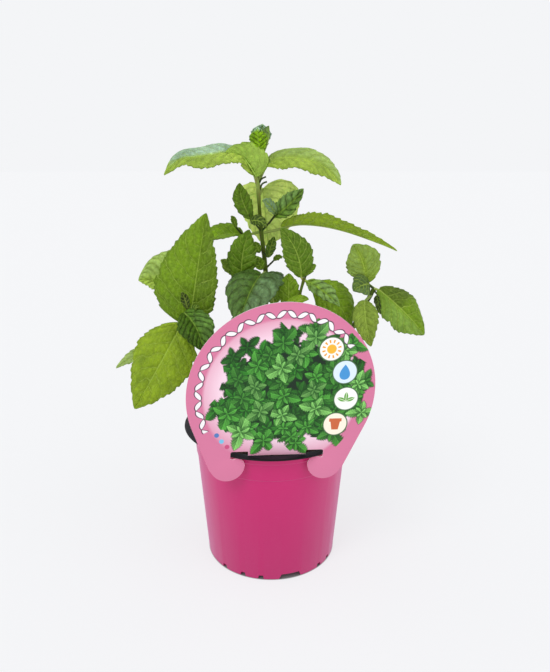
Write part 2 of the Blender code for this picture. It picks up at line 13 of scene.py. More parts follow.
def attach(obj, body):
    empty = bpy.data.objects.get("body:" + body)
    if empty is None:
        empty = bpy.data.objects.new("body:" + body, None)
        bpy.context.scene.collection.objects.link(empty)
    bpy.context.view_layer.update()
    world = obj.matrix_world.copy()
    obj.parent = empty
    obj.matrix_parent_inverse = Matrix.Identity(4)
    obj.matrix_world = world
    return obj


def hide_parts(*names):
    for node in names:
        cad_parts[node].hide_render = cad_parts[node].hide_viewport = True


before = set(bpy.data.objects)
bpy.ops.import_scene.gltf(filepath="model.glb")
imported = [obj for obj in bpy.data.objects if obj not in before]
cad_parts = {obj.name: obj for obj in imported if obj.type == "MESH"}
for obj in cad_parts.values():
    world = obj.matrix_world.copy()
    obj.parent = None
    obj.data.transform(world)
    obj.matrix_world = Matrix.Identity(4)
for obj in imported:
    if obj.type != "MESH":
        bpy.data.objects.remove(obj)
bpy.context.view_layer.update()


def srgb(red, green, blue):
    """Linear red, green and blue of a screen colour."""
    return tuple((part / 255 / 12.92) if part < 11 else ((part / 255 + 0.055) / 1.055) ** 2.4
                 for part in (red, green, blue))


MM = 0.001
BODY = "root"

# What the peat and the tag keep clear of the pot
GAP = 0.3

# Pot, as in the model
POT_HEIGHT = 84.0
FLANGE_RADIUS = 52.3
FLANGE_THICK = 0.9
FOOT_RADIUS = 39.7
FOOT_RING = 3.2
FLOOR_UNDER = 4.0
WALL = 0.8
WALL_TAPER = 0.0795
LOW_STEP_Z = 67.5
HIGH_STEP_Z = 78.0
STEP_OUT = 0.45
SMALL_NOTCH_WIDTH = 4.2
SMALL_NOTCH_HEIGHT = 2.8
SMALL_NOTCH_SLOPE = 1.2
SMALL_NOTCH_ANGLES = (-44.0, -24.5, -8.5, 46.5, 60.0, 88.0)
WIDE_NOTCH_ANGLES = (6.0, 27.5)
WIDE_NOTCH_HEIGHT = 3.5
WIDE_NOTCH_SLOPE = 3.0
NOTCH_OUTWARDS = 3.0
NOTCH_INWARDS = 2.0
DRAIN_HOLES = 6
DRAIN_RADIUS = 4.0
DRAIN_CIRCLE = 24.0
DRAIN_SIDES = 40
POT_STEPS = 160
POT_ROUNDING = 0.22

# Peat
PEAT_TOP = 74.0
PEAT_CLEARANCE = 0.4
PEAT_RINGS = 46
PEAT_STEPS = 150
MOUNDS_END = 44.5
CRUMBS = 520
CRUMB_SEED = 11
CRUMB_REACH = 43.5
CRUMB_SIZES = (0.4, 1.5)
CRUMB_FLATNESS = 0.7

# Tag, as in the model
TAG_THICK = 0.6
TAG_BACK = 46.3
TAG_TURN = 3.8
TAG_DISC_RADIUS = 49.4
TAG_DISC_RISE = 34.6
TAG_LEAN = 0.064
TAG_TONGUE = 15.5
SLOT_END = 24.9
SLOT_TOP = 2.7
LOBE_TOP = (20.7, -1.7)
LOBE_BOTTOM = (26.3, -14.6)
LOBE_RADIUS = 9.4
LOBE_CORNER = 4.4
TAG_SIDE = (36.1, -7.6)
TAG_ROUNDING = 0.08

# Leaves. FIRST_ROW is the place of a blade's first points along it, and RIB_TAPER is how much narrower its
# midrib is at the tip.
BLADE_THICK = 0.42
FIRST_ROW = 0.012
TOOTH_PITCH = 3.3
TOOTH_CUT = 1.05
DEEPEST_CUT = 0.22
RAGGED = 0.09
RIB_HALF = 0.7
RIB_TAPER = 0.4
VEIN_HALF = 0.42
VEIN_LEAN = 0.8
VEIN_STAGGER = 0.45
BLISTER = 2.6
BLISTER_STAGGER = 0.31

# Stems and petioles
STEM_DEPTH = 18.0
YOUNG_STEM_Z = 212.0
YOUNG_STEM_FADE = 12.0
NODE_SWELL = 0.22
NODE_REACH = 2.2
PETIOLE_RADIUS = 0.8
SMALL_PETIOLE = 0.72
PETIOLE_TAPER = (
    # share of the blade, share of the petiole's radius
    (0.03, 0.85), (0.15, 0.62), (0.3, 0.5), (0.5, 0.4), (0.7, 0.3), (0.92, 0.16),
)

# Print on the tag, measured from the disc's middle
PINK = srgb(215, 122, 158)
GLOW = srgb(250, 222, 236)
GLOW_CIRCLE = 40.6
FIELD_MIDDLE = (5.5, 2.8)
FIELD_SIZE = (43.5, 34.0)
FIELD_SHADE = srgb(14, 40, 20)
SPRIG_LAYERS = (
    # seed, spacing, reach, dark tone, light tone, share of the field
    ((3.1, 7.7), 9.6, 8.6, srgb(8, 44, 6), srgb(30, 104, 22), 0.94),
    ((41.3, 12.9), 11.0, 9.6, srgb(10, 56, 10), srgb(52, 138, 38), 0.97),
    ((17.9, 33.1), 13.0, 10.2, srgb(14, 68, 14), srgb(88, 178, 64), 1.0),
    ((7.3, 51.7), 17.5, 10.0, srgb(18, 80, 18), srgb(144, 218, 112), 0.97),
)
SPRIG_PAIRS = (
    # turn, share of the sprig's reach
    (0.0, 1.0), (1.75, 0.78), (0.8, 0.5), (2.4, 0.36),
)
GARLAND_CIRCLE = 43.2
GARLAND_PITCH = 5.4
GARLAND_ENDS = (-7.5, 16.4)
GARLAND_LINE = srgb(70, 44, 66)
GARLAND_WHITE = srgb(246, 242, 244)
MARK_CIRCLE = 34.5
MARK_RADIUS = 6.7
MARK_LINE = 0.6
MARK_TURNS = (45, 20, -5, -30)
MARK_GROUNDS = (srgb(252, 250, 244), srgb(222, 238, 250), srgb(250, 252, 246), srgb(252, 244, 224))
DOT_CIRCLE = 39.4
DOT_RADIUS = 1.3
DOT_TURNS = (214, 220.5, 227)
DOT_COLOURS = (srgb(84, 126, 190), srgb(120, 196, 232), srgb(206, 82, 130))

# Studio
FLOOR_RADIUS = 30.0
FLOOR_COLOUR = (0.2, 0.2, 0.203)
FLOOR_GLOW = 0.775
# How brightly the floor glows under the pot: a painted shadow
SHADOWED_GLOW_UNDER_POT = 0.02
BACKDROP = srgb(244, 245, 247)
SKY_LIGHT = (0.7, 0.705, 0.715)
SKY_STRENGTHS = (0.7, 1.6)
SUNS = (
    # name, lean from straight down, turn, strength, softness in degrees
    ("key", 42.0, -35.0, 1.0, 25.0),
    ("fill", 55.0, 50.0, 0.45, 50.0),
)

# Camera: the photograph's viewing angle
IMAGE_HEIGHT = 672
FOCAL_PIXELS = 602
SENSOR_WIDTH = 36
CAMERA_PLACE = (0, -340, 233)
CAMERA_PITCH = 16
SHIFT_PIXELS = (4, 3)

# The greens of the leaves and stalks, as screen colours
TONES = {
    "sunlit": srgb(166, 196, 70),
    "clasp": srgb(150, 184, 72),
    # a pale green brightened with painted light, for a leaf lit through from behind
    "glow": srgb(204, 224, 120),
    "pale": srgb(170, 196, 84),
    "lime": srgb(154, 184, 66),
    "fresh": srgb(130, 178, 0),
    "olive": srgb(132, 160, 24),
    "mid": srgb(112, 148, 16),
    "deep": srgb(86, 122, 12),
    "dark": srgb(62, 96, 16),
    "blue": srgb(82, 114, 40),
    "grey": srgb(152, 178, 96),
    "black": srgb(40, 56, 20),
}
# The colour of the leaves' painted sheen, a silvery reflection of the bright surroundings
PAINTED_SHEEN_COLOUR = srgb(152, 184, 158)
UNDERSIDE_WASH = srgb(152, 182, 84)
STALKS = {
    "pale": srgb(150, 170, 92),
    "brown": srgb(80, 99, 16),
    "dark": srgb(50, 66, 20),
}


class Leaf(NamedTuple):
    """One leaf. joint: where its petiole leaves the stem; base, tip: the ends of the blade; face: the way
    the upper side looks; crest: how far the midrib's middle stands off the straight line from base to tip;
    bend: points evenly spaced along the midrib between its ends, instead of the crest; fold: rise of both
    edges over the midrib; left_width, right_width: a half's share of its full width; heart: how far the
    shoulders of its base reach back past the petiole; wave: height of the edge's waves; ripples: waves on
    each edge; widest: the place of the greatest width along the blade; grain: size of the mesh's cells;
    quilt: height of the swellings between its veins; veins: pairs of side veins; stalk: colour of its
    petiole; tone: its green; halves: brightness of its left and right half, partly its tone and partly
    painted light and shade; even_from: where along the blade both become as bright as the brighter one,
    which ends the darker half's painted shade; silver: a painted silvery sheen, a reflection of the bright
    surroundings, on its left and right half; sheen_start, sheen_end: where along the blade that starts
    and ends."""

    joint: tuple
    base: tuple
    tip: tuple
    width: float
    face: tuple
    crest: tuple = (0, 0, 2)
    bend: tuple = ()
    fold: float = 1.0
    left_width: float = 1.0
    right_width: float = 1.0
    heart: float = 0.0
    wave: float = 0.5
    ripples: int = 6
    widest: float = 0.42
    grain: float = 0.62
    quilt: float = 0.55
    veins: int = 7
    stalk: str = "pale"
    tone: str = "mid"
    halves: tuple = (1.0, 1.0)
    even_from: float = 1.1
    silver: tuple = (0.0, 0.0)
    sheen_start: float = -0.1
    sheen_end: float = 1.1


def small(joint, base, tip, width, face, **more):
    """A young leaf, with fewer waves and veins."""
    usual = {"ripples": 4, "crest": (0, 0, 1), "wave": 0.3, "veins": 5, "quilt": 0.35, "tone": "deep",
             "grain": 0.55, "stalk": "dark"}
    return Leaf(joint, base, tip, width, face, **{**usual, **more})


def hidden(joint, base, tip, width, **more):
    """A plain level leaf low down or behind, which rises a little and droops to its tip."""
    usual = {"ripples": 5, "crest": (0, 0, 4), "grain": 0.9, "quilt": 0.5}
    return Leaf(joint, base, tip, width, (0, 0, 1), **{**usual, **more})


# Each leafy stem: its foot in the peat, as x, y and radius, its route up from there and any bare stubs, as
# x, y, z and radius, and its leaves.
STEMS = {
    "leafy_stem_main": {
        "foot": (0, 0, 1.7),
        "route": [(-1, -1, 112, 1.6), (-2.6, -1, 150, 1.4), (-3.1, 0, 176, 1.25), (-5.4, 0, 197.5, 1.15),
                  (-6.9, 0, 220, 1.05), (-6.6, 0, 231, 0.95), (-6, 0, 244, 0.8)],
        "stubs": [
            [(-6.8, 0, 223.0, 0.6), (-5.4, -1.2, 226.2, 0.5), (-2.7, -1.6, 227.6, 0.45)],
            [(-6.6, 0, 219.2, 0.6), (-5.0, -1.2, 223.6, 0.5), (-2.2, -1.6, 225.0, 0.5)],
        ],
        "leaves": [
            # the top pair
            Leaf((-6.8, 0, 220), (-7.9, -2.8, 228), (-55.6, -16, 228.7), 24, (0, -0.5, 0.87),
                 bend=((-14.6, -4.4, 237.6), (-23, -7, 239.8), (-31.5, -10, 238.6), (-39.6, -12.5, 237.6),
                       (-47.8, -14.3, 236.2)), fold=0.2, left_width=1.05, right_width=0.9, widest=0.5,
                 ripples=8, tone="sunlit", halves=(0.86, 1.04), silver=(0.02, 2.2), quilt=0.62, veins=9,
                 sheen_end=0.93),
            Leaf((-6.7, 0, 225), (-3.6, 0.3, 233.5), (37.4, -8, 223.4), 22, (0, -0.5, 0.87),
                 bend=((2.4, -1, 236.6), (10, -2.2, 237.6), (18.5, -4, 236.6), (26.5, -5.6, 233.8),
                       (32.8, -7, 229.0)), fold=0.2, right_width=1.1, ripples=7, tone="sunlit",
                 halves=(0.76, 0.8), silver=(0.25, 0.0), veins=8),
            # the broad clasping foot of the left one
            small((-6.8, 0, 222.5), (-7.5, -3.3, 227), (-24, -8.2, 240.2), 22.8, (0.12, -0.93, 0.35),
                  bend=((-10.2, -4.2, 232.1), (-13, -5, 235.9), (-15.8, -6, 238.2), (-19.6, -7.1, 239.6)),
                  widest=0.22, tone="clasp", quilt=0.15, stalk="pale", veins=6, left_width=0.12, wave=0.1),
            # the rolled bud
            small((-6.3, 0, 234), (-6.4, -0.6, 239), (-7.2, -2.6, 253.2), 10.4, (-0.05, -1, -0.1),
                  crest=(0, -2.4, 0), fold=-3, widest=0.6, tone="fresh", quilt=0.95, veins=6,
                  silver=(1.4, 1.4), sheen_start=0.82, stalk="pale"),
            small((-6.3, 0, 234), (-5.8, 1.6, 239), (-4.6, 2.4, 254.9), 11.5, (-0.1, -1, 0.1),
                  crest=(0, 2, 0), fold=3, widest=0.78, tone="fresh", silver=(2.2, 2.2), stalk="pale"),
            small((-6.3, 0, 234), (-4.8, -0.4, 239.5), (-1.4, -0.6, 253.8), 8, (-1, 0.3, 0.1),
                  crest=(1.4, -0.6, 0), fold=2.5, widest=0.7, tone="deep", silver=(0.2, 0.2), quilt=0.9,
                  stalk="pale"),
            # the pale leaf behind the stem
            Leaf((-6.8, 0, 217), (-4.6, 6.5, 221.6), (-1.7, 3.6, 188.6), 34, (0, -1, 0.25), crest=(0, 1, 0),
                 fold=-1.0, left_width=1.2, right_width=0.78, widest=0.34, ripples=7, tone="glow",
                 quilt=0.25, halves=(1.24, 1.7), heart=14, wave=0.7),
            # the side shoots at the middle node
            small((-5.4, 0, 198), (-10.6, -8, 205.6), (-16.6, -10, 224.6), 10.5, (-0.15, -0.95, 0.1),
                  crest=(-1.6, 0, 0), fold=1.2, ripples=5, tone="deep", halves=(0.85, 0.85), quilt=0.7,
                  widest=0.5),
            small((-8.8, -5.2, 202.9), (-11.2, -9.5, 204), (-2.2, -14, 201.5), 7.5, (0.1, -0.8, 0.6),
                  crest=(0, 0, 2), tone="dark", halves=(0.5, 0.5)),
            small((-5.4, 0, 198), (1.6, -8, 207), (17.4, -9, 221.6), 13, (-0.5, -0.8, 0.3),
                  crest=(0.5, 0, -1), fold=1.5, wave=0.8, ripples=5, tone="deep", silver=(0.22, 0.1),
                  halves=(1.32, 1.25), quilt=1.0),
            small((-1, -4.5, 203), (2.9, -10, 208), (-4.6, -13, 215.8), 8, (0.5, -0.7, 0.5), tone="dark",
                  silver=(0.5, 0.5)),
            # the long leaf to the right and the short one to the left
            Leaf((-5.2, 0, 197), (5.5, -3, 200.3), (69.1, -10, 188.7), 15, (0, 0.1, 1), crest=(-7, 0, 7),
                 fold=6, wave=0.4, ripples=7, tone="olive", veins=10, halves=(1.0, 1.3)),
            Leaf((-5.5, 0, 198), (-15.5, 3, 195.5), (-41, 1, 190), 16.5, (0, -0.45, 0.9), crest=(0, 0, 3),
                 fold=3, ripples=5, tone="mid", halves=(1.15, 1.2)),
            small((-15.5, 3, 195.5), (-19.6, 1.5, 200), (-22.3, 1, 206.5), 3.5, (0.2, -0.9, 0.2)),
            # small leaves along the stem
            small((-4.6, 0, 187), (-1.8, -5, 184), (1.9, -6, 196), 6, (0.3, -0.9, 0.3), tone="dark"),
            small((-4.8, 0, 190), (-6.5, -4, 186.5), (-9, -6, 193), 5, (-0.3, -0.8, 0.4)),
            small((-3.8, 0, 182), (-5, -4, 177), (-9, -6, 185), 6.5, (-0.2, -0.9, 0.3)),
            small((-3.2, 0, 177), (1.5, -1.5, 182), (6.5, -2, 183.5), 3.5, (0.1, -0.9, 0.4)),
            # the upright leaf left of the stem
            Leaf((-3, 0, 168), (-16, -4, 168), (-11.8, -5, 199.6), 17, (0.15, -0.97, 0.2),
                 crest=(-2.2, -1, 0), tone="deep", quilt=0.6, widest=0.52, wave=0.8),
            small((-9, -2, 168.5), (-20, -1, 173.5), (-28.4, -2, 182.5), 7.5, (-0.2, -0.8, 0.5), tone="pale"),
            # the dark leaf in front
            Leaf((-3.1, 0, 175.5), (-5, -11, 176), (-17, -38, 154), 36, (-0.2, -0.7, 0.68),
                 crest=(0, -2, 4), fold=-2.5, left_width=0.78, right_width=0.9, heart=22, tone="dark",
                 silver=(0.3, 0.1), halves=(1.08, 1.14), quilt=0.85, veins=6),
            # leaves lower down and behind
            hidden((-3.1, 0, 175), (-2, 9, 171), (2, 38, 146), 22, crest=(0, 1, 5)),
            hidden((-2.5, -1, 148), (8, 4, 150), (33, 14, 141), 18),
            hidden((-2.5, -1, 148), (-9, 7, 148), (-23, 22, 136), 17),
            hidden((-1.5, -1, 122), (-1, -10, 125), (2, -36, 120), 17),
        ],
    },
    "leafy_stem_left": {
        "foot": (-15, -10, 1.5),
        "route": [(-24, -13, 102, 1.4), (-37, -16, 132, 1.25), (-45.5, -18, 158, 1.0)],
        "leaves": [
            # the broad leaf that faces the front
            Leaf((-45.2, -18, 157), (-45.6, -14.5, 147), (-34.7, -11, 209), 33, (-0.1, -0.98, 0.1),
                 crest=(0, -2, 0), fold=1.5, left_width=1.36, right_width=0.78, widest=0.29, ripples=9,
                 tone="mid", halves=(0.94, 0.7), veins=7),
            # the leaf behind it, to the left
            Leaf((-45.2, -18, 156), (-46, -9, 161), (-76.5, 3, 170), 42, (-0.35, -0.75, 0.55),
                 crest=(0, 0, 4), left_width=0.3, wave=0.8, widest=0.52, ripples=7, tone="lime",
                 silver=(0.0, 0.2), quilt=0.7, veins=9),
            # the dark folded leaf beside the tag
            Leaf((-45.2, -18, 156), (-47.5, -22, 157), (-37, -30, 137.5), 20, (0.35, -0.75, 0.55),
                 crest=(2.5, -2, 1.5), fold=2.5, right_width=1.1, tone="dark", silver=(0.1, 0.0),
                 halves=(1.85, 1.3), quilt=0.9),
            # the hanging leaf
            Leaf((-45, -18, 154), (-48.8, -21, 150.5), (-75.6, -30, 103.8), 34, (-0.25, -0.95, -0.1),
                 crest=(1, -3, 1), fold=-1.5, widest=0.38, ripples=7, tone="olive", quilt=0.5, veins=7),
            # the small leaf behind it
            small((-33.5, -15.1, 124), (-62, -9, 130), (-88.3, -15, 122.6), 12, (-0.2, -0.5, 0.85),
                  crest=(0, 0, 3), ripples=5, tone="grey", stalk="pale"),
            # young leaves at the end
            small((-45.5, -18, 157), (-45.5, -19.5, 158), (-48, -22, 168), 5, (0.2, -0.9, 0.3), tone="black"),
            small((-45.5, -18, 157), (-44, -20, 156), (-38.5, -23, 160), 4.5, (0.1, -0.8, 0.6), tone="dark"),
            # a low pair
            hidden((-24, -13, 102), (-29, -20, 104), (-42, -33, 97), 13),
            hidden((-24, -13, 102), (-27, -4, 106), (-38, 20, 104), 15),
        ],
    },
    "leafy_stem_middle": {
        "foot": (9, -14, 1.4),
        "route": [(11, -17, 110, 1.2), (13.5, -19.5, 150, 1.0), (15.6, -20, 166, 0.85),
                  (18, -20, 175.5, 0.8)],
        "leaves": [
            # the upright leaf right of the main stem
            Leaf((17.5, -20, 174), (16.2, -20, 175.5), (4.9, -18, 201.5), 17.5, (0.3, -0.93, 0.2),
                 crest=(2.8, -1, 1), tone="deep", quilt=0.45, halves=(0.9, 0.9)),
            # the quilted leaf and the broad one behind it
            Leaf((17.8, -20, 174.5), (19, -21.5, 174), (36, -32, 162.5), 12.5, (0.3, -0.6, 0.74),
                 crest=(0, 0, 1), tone="mid", silver=(0.3, 0.3), halves=(1.14, 1.14), quilt=1.0, veins=5),
            Leaf((17.8, -20, 174.5), (23, -13, 169.5), (44, -13, 145), 24, (0.35, -0.85, 0.4),
                 crest=(3.5, -1, 2.5), fold=-1.5, tone="mid"),
            # young leaves at the end
            small((18, -20, 175), (18.5, -20, 176.5), (24.3, -18, 182), 5.5, (-0.3, -0.8, 0.5)),
            small((18, -20, 175), (18.5, -18.5, 176), (20.5, -15.5, 183.5), 4.5, (-0.2, -0.9, 0.3)),
            # the leaves that stand behind the tag's top
            small((13, -19.5, 147), (9.7, -20, 155), (9.7, -17, 177.4), 12, (-0.1, -0.98, 0.1), ripples=5,
                  widest=0.58, tone="mid"),
            small((13, -19.5, 148), (8, -25, 160), (20, -28, 165.5), 9, (0.1, -0.6, 0.8), tone="mid"),
            # a low pair
            hidden((11, -17, 108), (14, -24, 110), (19, -40, 105), 13, crest=(0, 0, 3)),
            hidden((11, -17, 108), (18, -16, 111), (40, -19, 110), 14),
        ],
    },
    "leafy_stem_right": {
        "foot": (22, 0, 1.5),
        "route": [(29, -2, 102, 1.4), (41, -6, 132, 1.25), (51, -9, 154, 1.1), (57, -12, 168, 0.9)],
        "leaves": [
            # the round leaf and the small dark one below it
            Leaf((57, -12, 168), (52.5, -12, 171), (44.8, -9, 192), 20.5, (0.1, -0.98, 0.15),
                 crest=(1.5, -1, 1), widest=0.5, ripples=5, wave=0.8, tone="olive", halves=(0.86, 0.94),
                 silver=(0.2, 0.2)),
            small((57, -12, 168), (54, -14.5, 171), (44.5, -19, 168), 14, (-0.1, -0.9, 0.4), tone="blue",
                  silver=(0.12, 0.06), halves=(0.66, 0.66)),
            # the big leaf at the right
            Leaf((57, -12, 168), (59, -13, 168), (86.2, -14, 142), 24, (0.3, -0.85, 0.45),
                 crest=(0.8, -2, 0.8), fold=-1.5, ripples=7, tone="mid", halves=(0.44, 0.93),
                 silver=(0.0, 0.12), even_from=0.4, widest=0.46),
            # the narrow dark leaf, nearly edge-on
            small((57, -12, 167), (58.5, -14, 165), (60, -19, 155), 6, (-0.9, -0.3, 0.2), tone="black"),
            # the hanging leaf
            Leaf((55.5, -11.5, 164), (51.5, -17, 162.5), (54.8, -24, 138), 15, (0, -0.95, 0.25),
                 crest=(-1.5, -1, 2), tone="lime", halves=(0.62, 0.62)),
            # a low pair
            hidden((29, -2, 102), (35, -8, 104), (46, -24, 99), 14),
            hidden((29, -2, 102), (33, 5, 105), (46, 26, 99), 16),
        ],
    },
    "leafy_stem_back": {
        "foot": (-4, 22, 1.4),
        "route": [(-5, 25, 100, 1.2), (-6, 29, 126, 0.9)],
        "leaves": [
            hidden((-5, 25, 99), (2, 27, 101), (26, 36, 97), 17),
            hidden((-5, 25, 99), (-11, 28, 101), (-32, 40, 96), 17),
            hidden((-6, 28, 124), (-6, 33, 126), (-3, 52, 120), 16),
            hidden((-6, 28, 124), (-8, 24, 127), (-13, 8, 129), 12, crest=(0, 0, 2.5)),
            small((-6, 29, 126), (-6, 29.5, 127), (-3, 31, 136), 6, (0, -0.9, 0.2), fold=1.5),
            small((-6, 29, 126), (-6.5, 28.5, 127), (-10, 26, 135), 5.5, (0.4, 0.9, 0.2), fold=1.5),
        ],
    },
}


class Term:
    """A node's output. Sums of terms and numbers add Math nodes."""

    def __init__(self, graph, socket):
        self.graph = graph
        self.socket = socket

    def __add__(self, other):
        return self.graph.math("ADD", self, other)

    def __sub__(self, other):
        return self.graph.math("SUBTRACT", self, other)

    def __rsub__(self, other):
        return self.graph.math("SUBTRACT", other, self)

    def __mul__(self, other):
        return self.graph.math("MULTIPLY", self, other)

    def __truediv__(self, other):
        return self.graph.math("DIVIDE", self, other)

    def __pow__(self, power):
        return self.graph.math("POWER", self, power)

    def __abs__(self):
        return self.graph.math("ABSOLUTE", self)


class Graph:
    """The nodes of a material or a world, with short calls that add a node and give back its output."""

    def __init__(self, owner):
        owner.use_nodes = True
        self.tree = owner.node_tree

    def feed(self, socket, value):
        """Links a term to the socket, or sets the socket's own value."""
        if isinstance(value, Term):
            self.tree.links.new(value.socket, socket)
        elif socket.type == "RGBA":
            socket.default_value = (*value, 1.0)
        else:
            socket.default_value = value

    def node(self, kind, inputs, output=0, **settings):
        """Adds a node. The output is a number or a name, or several of them for several terms."""
        made = self.tree.nodes.new("ShaderNode" + kind)
        for label, choice in settings.items():
            setattr(made, label, choice)
        for label, value in inputs.items():
            self.feed(made.inputs[label], value)
        if isinstance(output, tuple):
            return [Term(self, made.outputs[part]) for part in output]
        return Term(self, made.outputs[output])

    def math(self, operation, *terms):
        return self.node("Math", dict(enumerate(terms)), operation=operation)

    def vector(self, operation, *terms):
        return self.node("VectorMath", dict(enumerate(terms)), operation=operation)

    def largest(self, first, second):
        return self.math("MAXIMUM", first, second)

    def fraction(self, value):
        return self.math("FRACT", value)

    def between(self, value, low, high, start=0.0, end=1.0):
        """The value, stretched from low..high to start..end and held there."""
        return self.node("MapRange", {0: value, 1: low, 2: high, 3: start, 4: end})

    def split(self, vector):
        """The vector's x, y and z."""
        return self.node("SeparateXYZ", {0: vector}, (0, 1, 2))

    def length(self, vector):
        return self.node("VectorMath", {0: vector}, "Value", operation="LENGTH")

    def turned(self, vector, angle):
        """The vector, turned about the Z axis."""
        return self.node("VectorRotate", {"Vector": vector, "Angle": angle}, rotation_type="Z_AXIS")

    def scaled(self, colour, factor):
        """A colour made lighter or darker."""
        return self.node("VectorMath", {0: colour, "Scale": factor}, operation="SCALE")

    def mix(self, share, first, second):
        """A colour between two colours."""
        return self.node("Mix", {0: share, 6: first, 7: second}, 2, data_type="RGBA")

    def noise(self, place, scale, detail=3.0):
        return self.node("TexNoise", {"Vector": place, "Scale": scale, "Detail": detail})

    def cell_edges(self, place, scale):
        """The distance to the nearest edge of a net of uneven cells."""
        return self.node("TexVoronoi", {"Vector": place, "Scale": scale}, feature="DISTANCE_TO_EDGE")

    def attribute(self, name, output):
        return self.node("Attribute", {}, output, attribute_name=name)

    def place(self):
        """The point's place on the object."""
        return self.node("TexCoord", {}, "Object")


class Finish(Graph):
    """A material with one Principled shader, whose uniform values are set on its own sockets."""

    def __init__(self, name, uniform):
        self.material = bpy.data.materials.new(name)
        super().__init__(self.material)
        self.shader = self.tree.nodes["Principled BSDF"]
        for label, value in uniform.items():
            self.feed(self.shader.inputs[label], value)

    def set(self, **inputs):
        for label, value in inputs.items():
            self.feed(self.shader.inputs[label.replace("_", " ")], value)

    def bump(self, height, strength, distance):
        """Sets the shader's normal from a height, in metres of distance."""
        self.set(Normal=self.node("Bump", {"Height": height, "Strength": strength, "Distance": distance}))


def leaf_veins(paint, place):
    """The midrib and the finer veins, each from 0 to 1, drawn from the blade's own coordinates: the run past
    its side veins, the distance from the midrib, the side veins' spacing and the midrib's half width."""
    run, aside, spacing = paint.split(paint.attribute("blade", "Vector"))
    wander = paint.noise(place, 230.0, 2.0) - 0.5
    run = run + wander * 0.6
    off = abs(paint.fraction(run + 0.5) - 0.5) * spacing
    side_vein = paint.between(off, 0.06, VEIN_HALF, 0.9, 0.0)
    rung = aside / BLISTER + paint.math("FLOOR", run) * BLISTER_STAGGER + wander * 3.0
    off = abs(paint.fraction(rung) - 0.5) * BLISTER
    cross_vein = paint.between(off, 0.04, VEIN_HALF, 0.36, 0.0)
    midrib = paint.between(aside / paint.attribute("rib", "Fac"), 0.5, 1.0, 1.0, 0.0)
    return midrib, paint.largest(side_vein, cross_vein)


def leaf_finish(name, rib_colour, wash_share, roughness):
    """Leaf skin: the leaf's own tone with mottling, paler veins and a fine net, washed with a pale green. The
    tone's alpha says how crinkled the leaf is. The skin carries painted shade and highlights on its pores
    and creases, stronger the more crinkled it is, and on a crinkled one the finer veins lie in grooves of
    painted shade."""
    paint = Finish(name, {"Specular IOR Level": 0.18, "Subsurface Weight": 0.08, "Subsurface Scale": 0.001,
                          "Subsurface Radius": (0.6, 1.0, 0.2)})
    place = paint.place()
    tone, crinkle = paint.attribute("tone", ("Color", "Alpha"))
    midrib, veins = leaf_veins(paint, place)
    sunken = paint.between(crinkle, 0.8, 1.0)
    dark = paint.vector("MULTIPLY", tone, (0.78, 0.8, 0.76))
    light = paint.vector("MULTIPLY", tone, (1.2, 1.16, 1.18))
    mottled = paint.mix(paint.between(paint.noise(place, 90.0), 0.3, 0.7), dark, light)
    pores = paint.noise(place, 430.0, 4.0)
    creases = paint.cell_edges(place, 340.0)
    # Painted shade and highlights on the pores and creases, stronger the more crinkled the leaf is.
    shade = paint.between(pores, 0.32, 0.68, 0.7, 1.26) * paint.between(creases, 0.0, 0.3, 0.86, 1.18)
    skin = paint.mix(paint.between(crinkle, 0.7, 1.0, 0.42, 1.0), mottled, paint.scaled(mottled, shade))
    # Painted shade in the grooves of the finer veins on a crinkled leaf.
    skin = paint.scaled(skin, 1.0 - veins * sunken * 0.5)
    skin = paint.mix(wash_share, skin, UNDERSIDE_WASH)
    cells = paint.cell_edges(place, 1150.0)
    ribs = paint.largest(midrib * (1.0 - sunken * 0.5), veins * (1.0 - sunken)) * 0.5
    ribs = paint.largest(ribs, paint.between(cells, 0.0, 0.12, 1.0, 0.0) * 0.1)
    paint.set(Base_Color=paint.mix(ribs, skin, rib_colour))
    matt = paint.between(paint.noise(place, 400.0), 0.3, 0.7, roughness - 0.06, roughness + 0.08)
    paint.set(Roughness=matt)
    paint.bump(cells * 0.8 + pores * 1.6 + creases * 2.4 - veins, 0.7, 0.0004)
    return paint.material


def stalk_finish():
    """Square stems and petioles: their own tone, streaked lengthwise with brown and pale green."""
    paint = Finish("mint_stalk", {"Specular IOR Level": 0.25, "Subsurface Weight": 0.05,
                                  "Subsurface Scale": 0.0008, "Subsurface Radius": (0.8, 0.9, 0.3)})
    place = paint.place()
    tone = paint.attribute("tone", "Color")
    streak = paint.noise(paint.vector("MULTIPLY", place, (1.0, 1.0, 0.22)), 700.0)
    reddish = paint.vector("MULTIPLY", tone, (1.04, 0.78, 0.7))
    greener = paint.vector("MULTIPLY", tone, (1.05, 1.3, 0.85))
    colour = paint.mix(paint.between(streak, 0.35, 0.65), reddish, greener)
    colour = paint.mix(paint.between(paint.noise(place, 60.0), 0.35, 0.7, 0.0, 0.6), colour, tone)
    paint.set(Base_Color=colour, Roughness=paint.between(streak, 0.2, 0.8, 0.42, 0.6))
    paint.bump(streak, 0.3, 0.0002)
    return paint.material


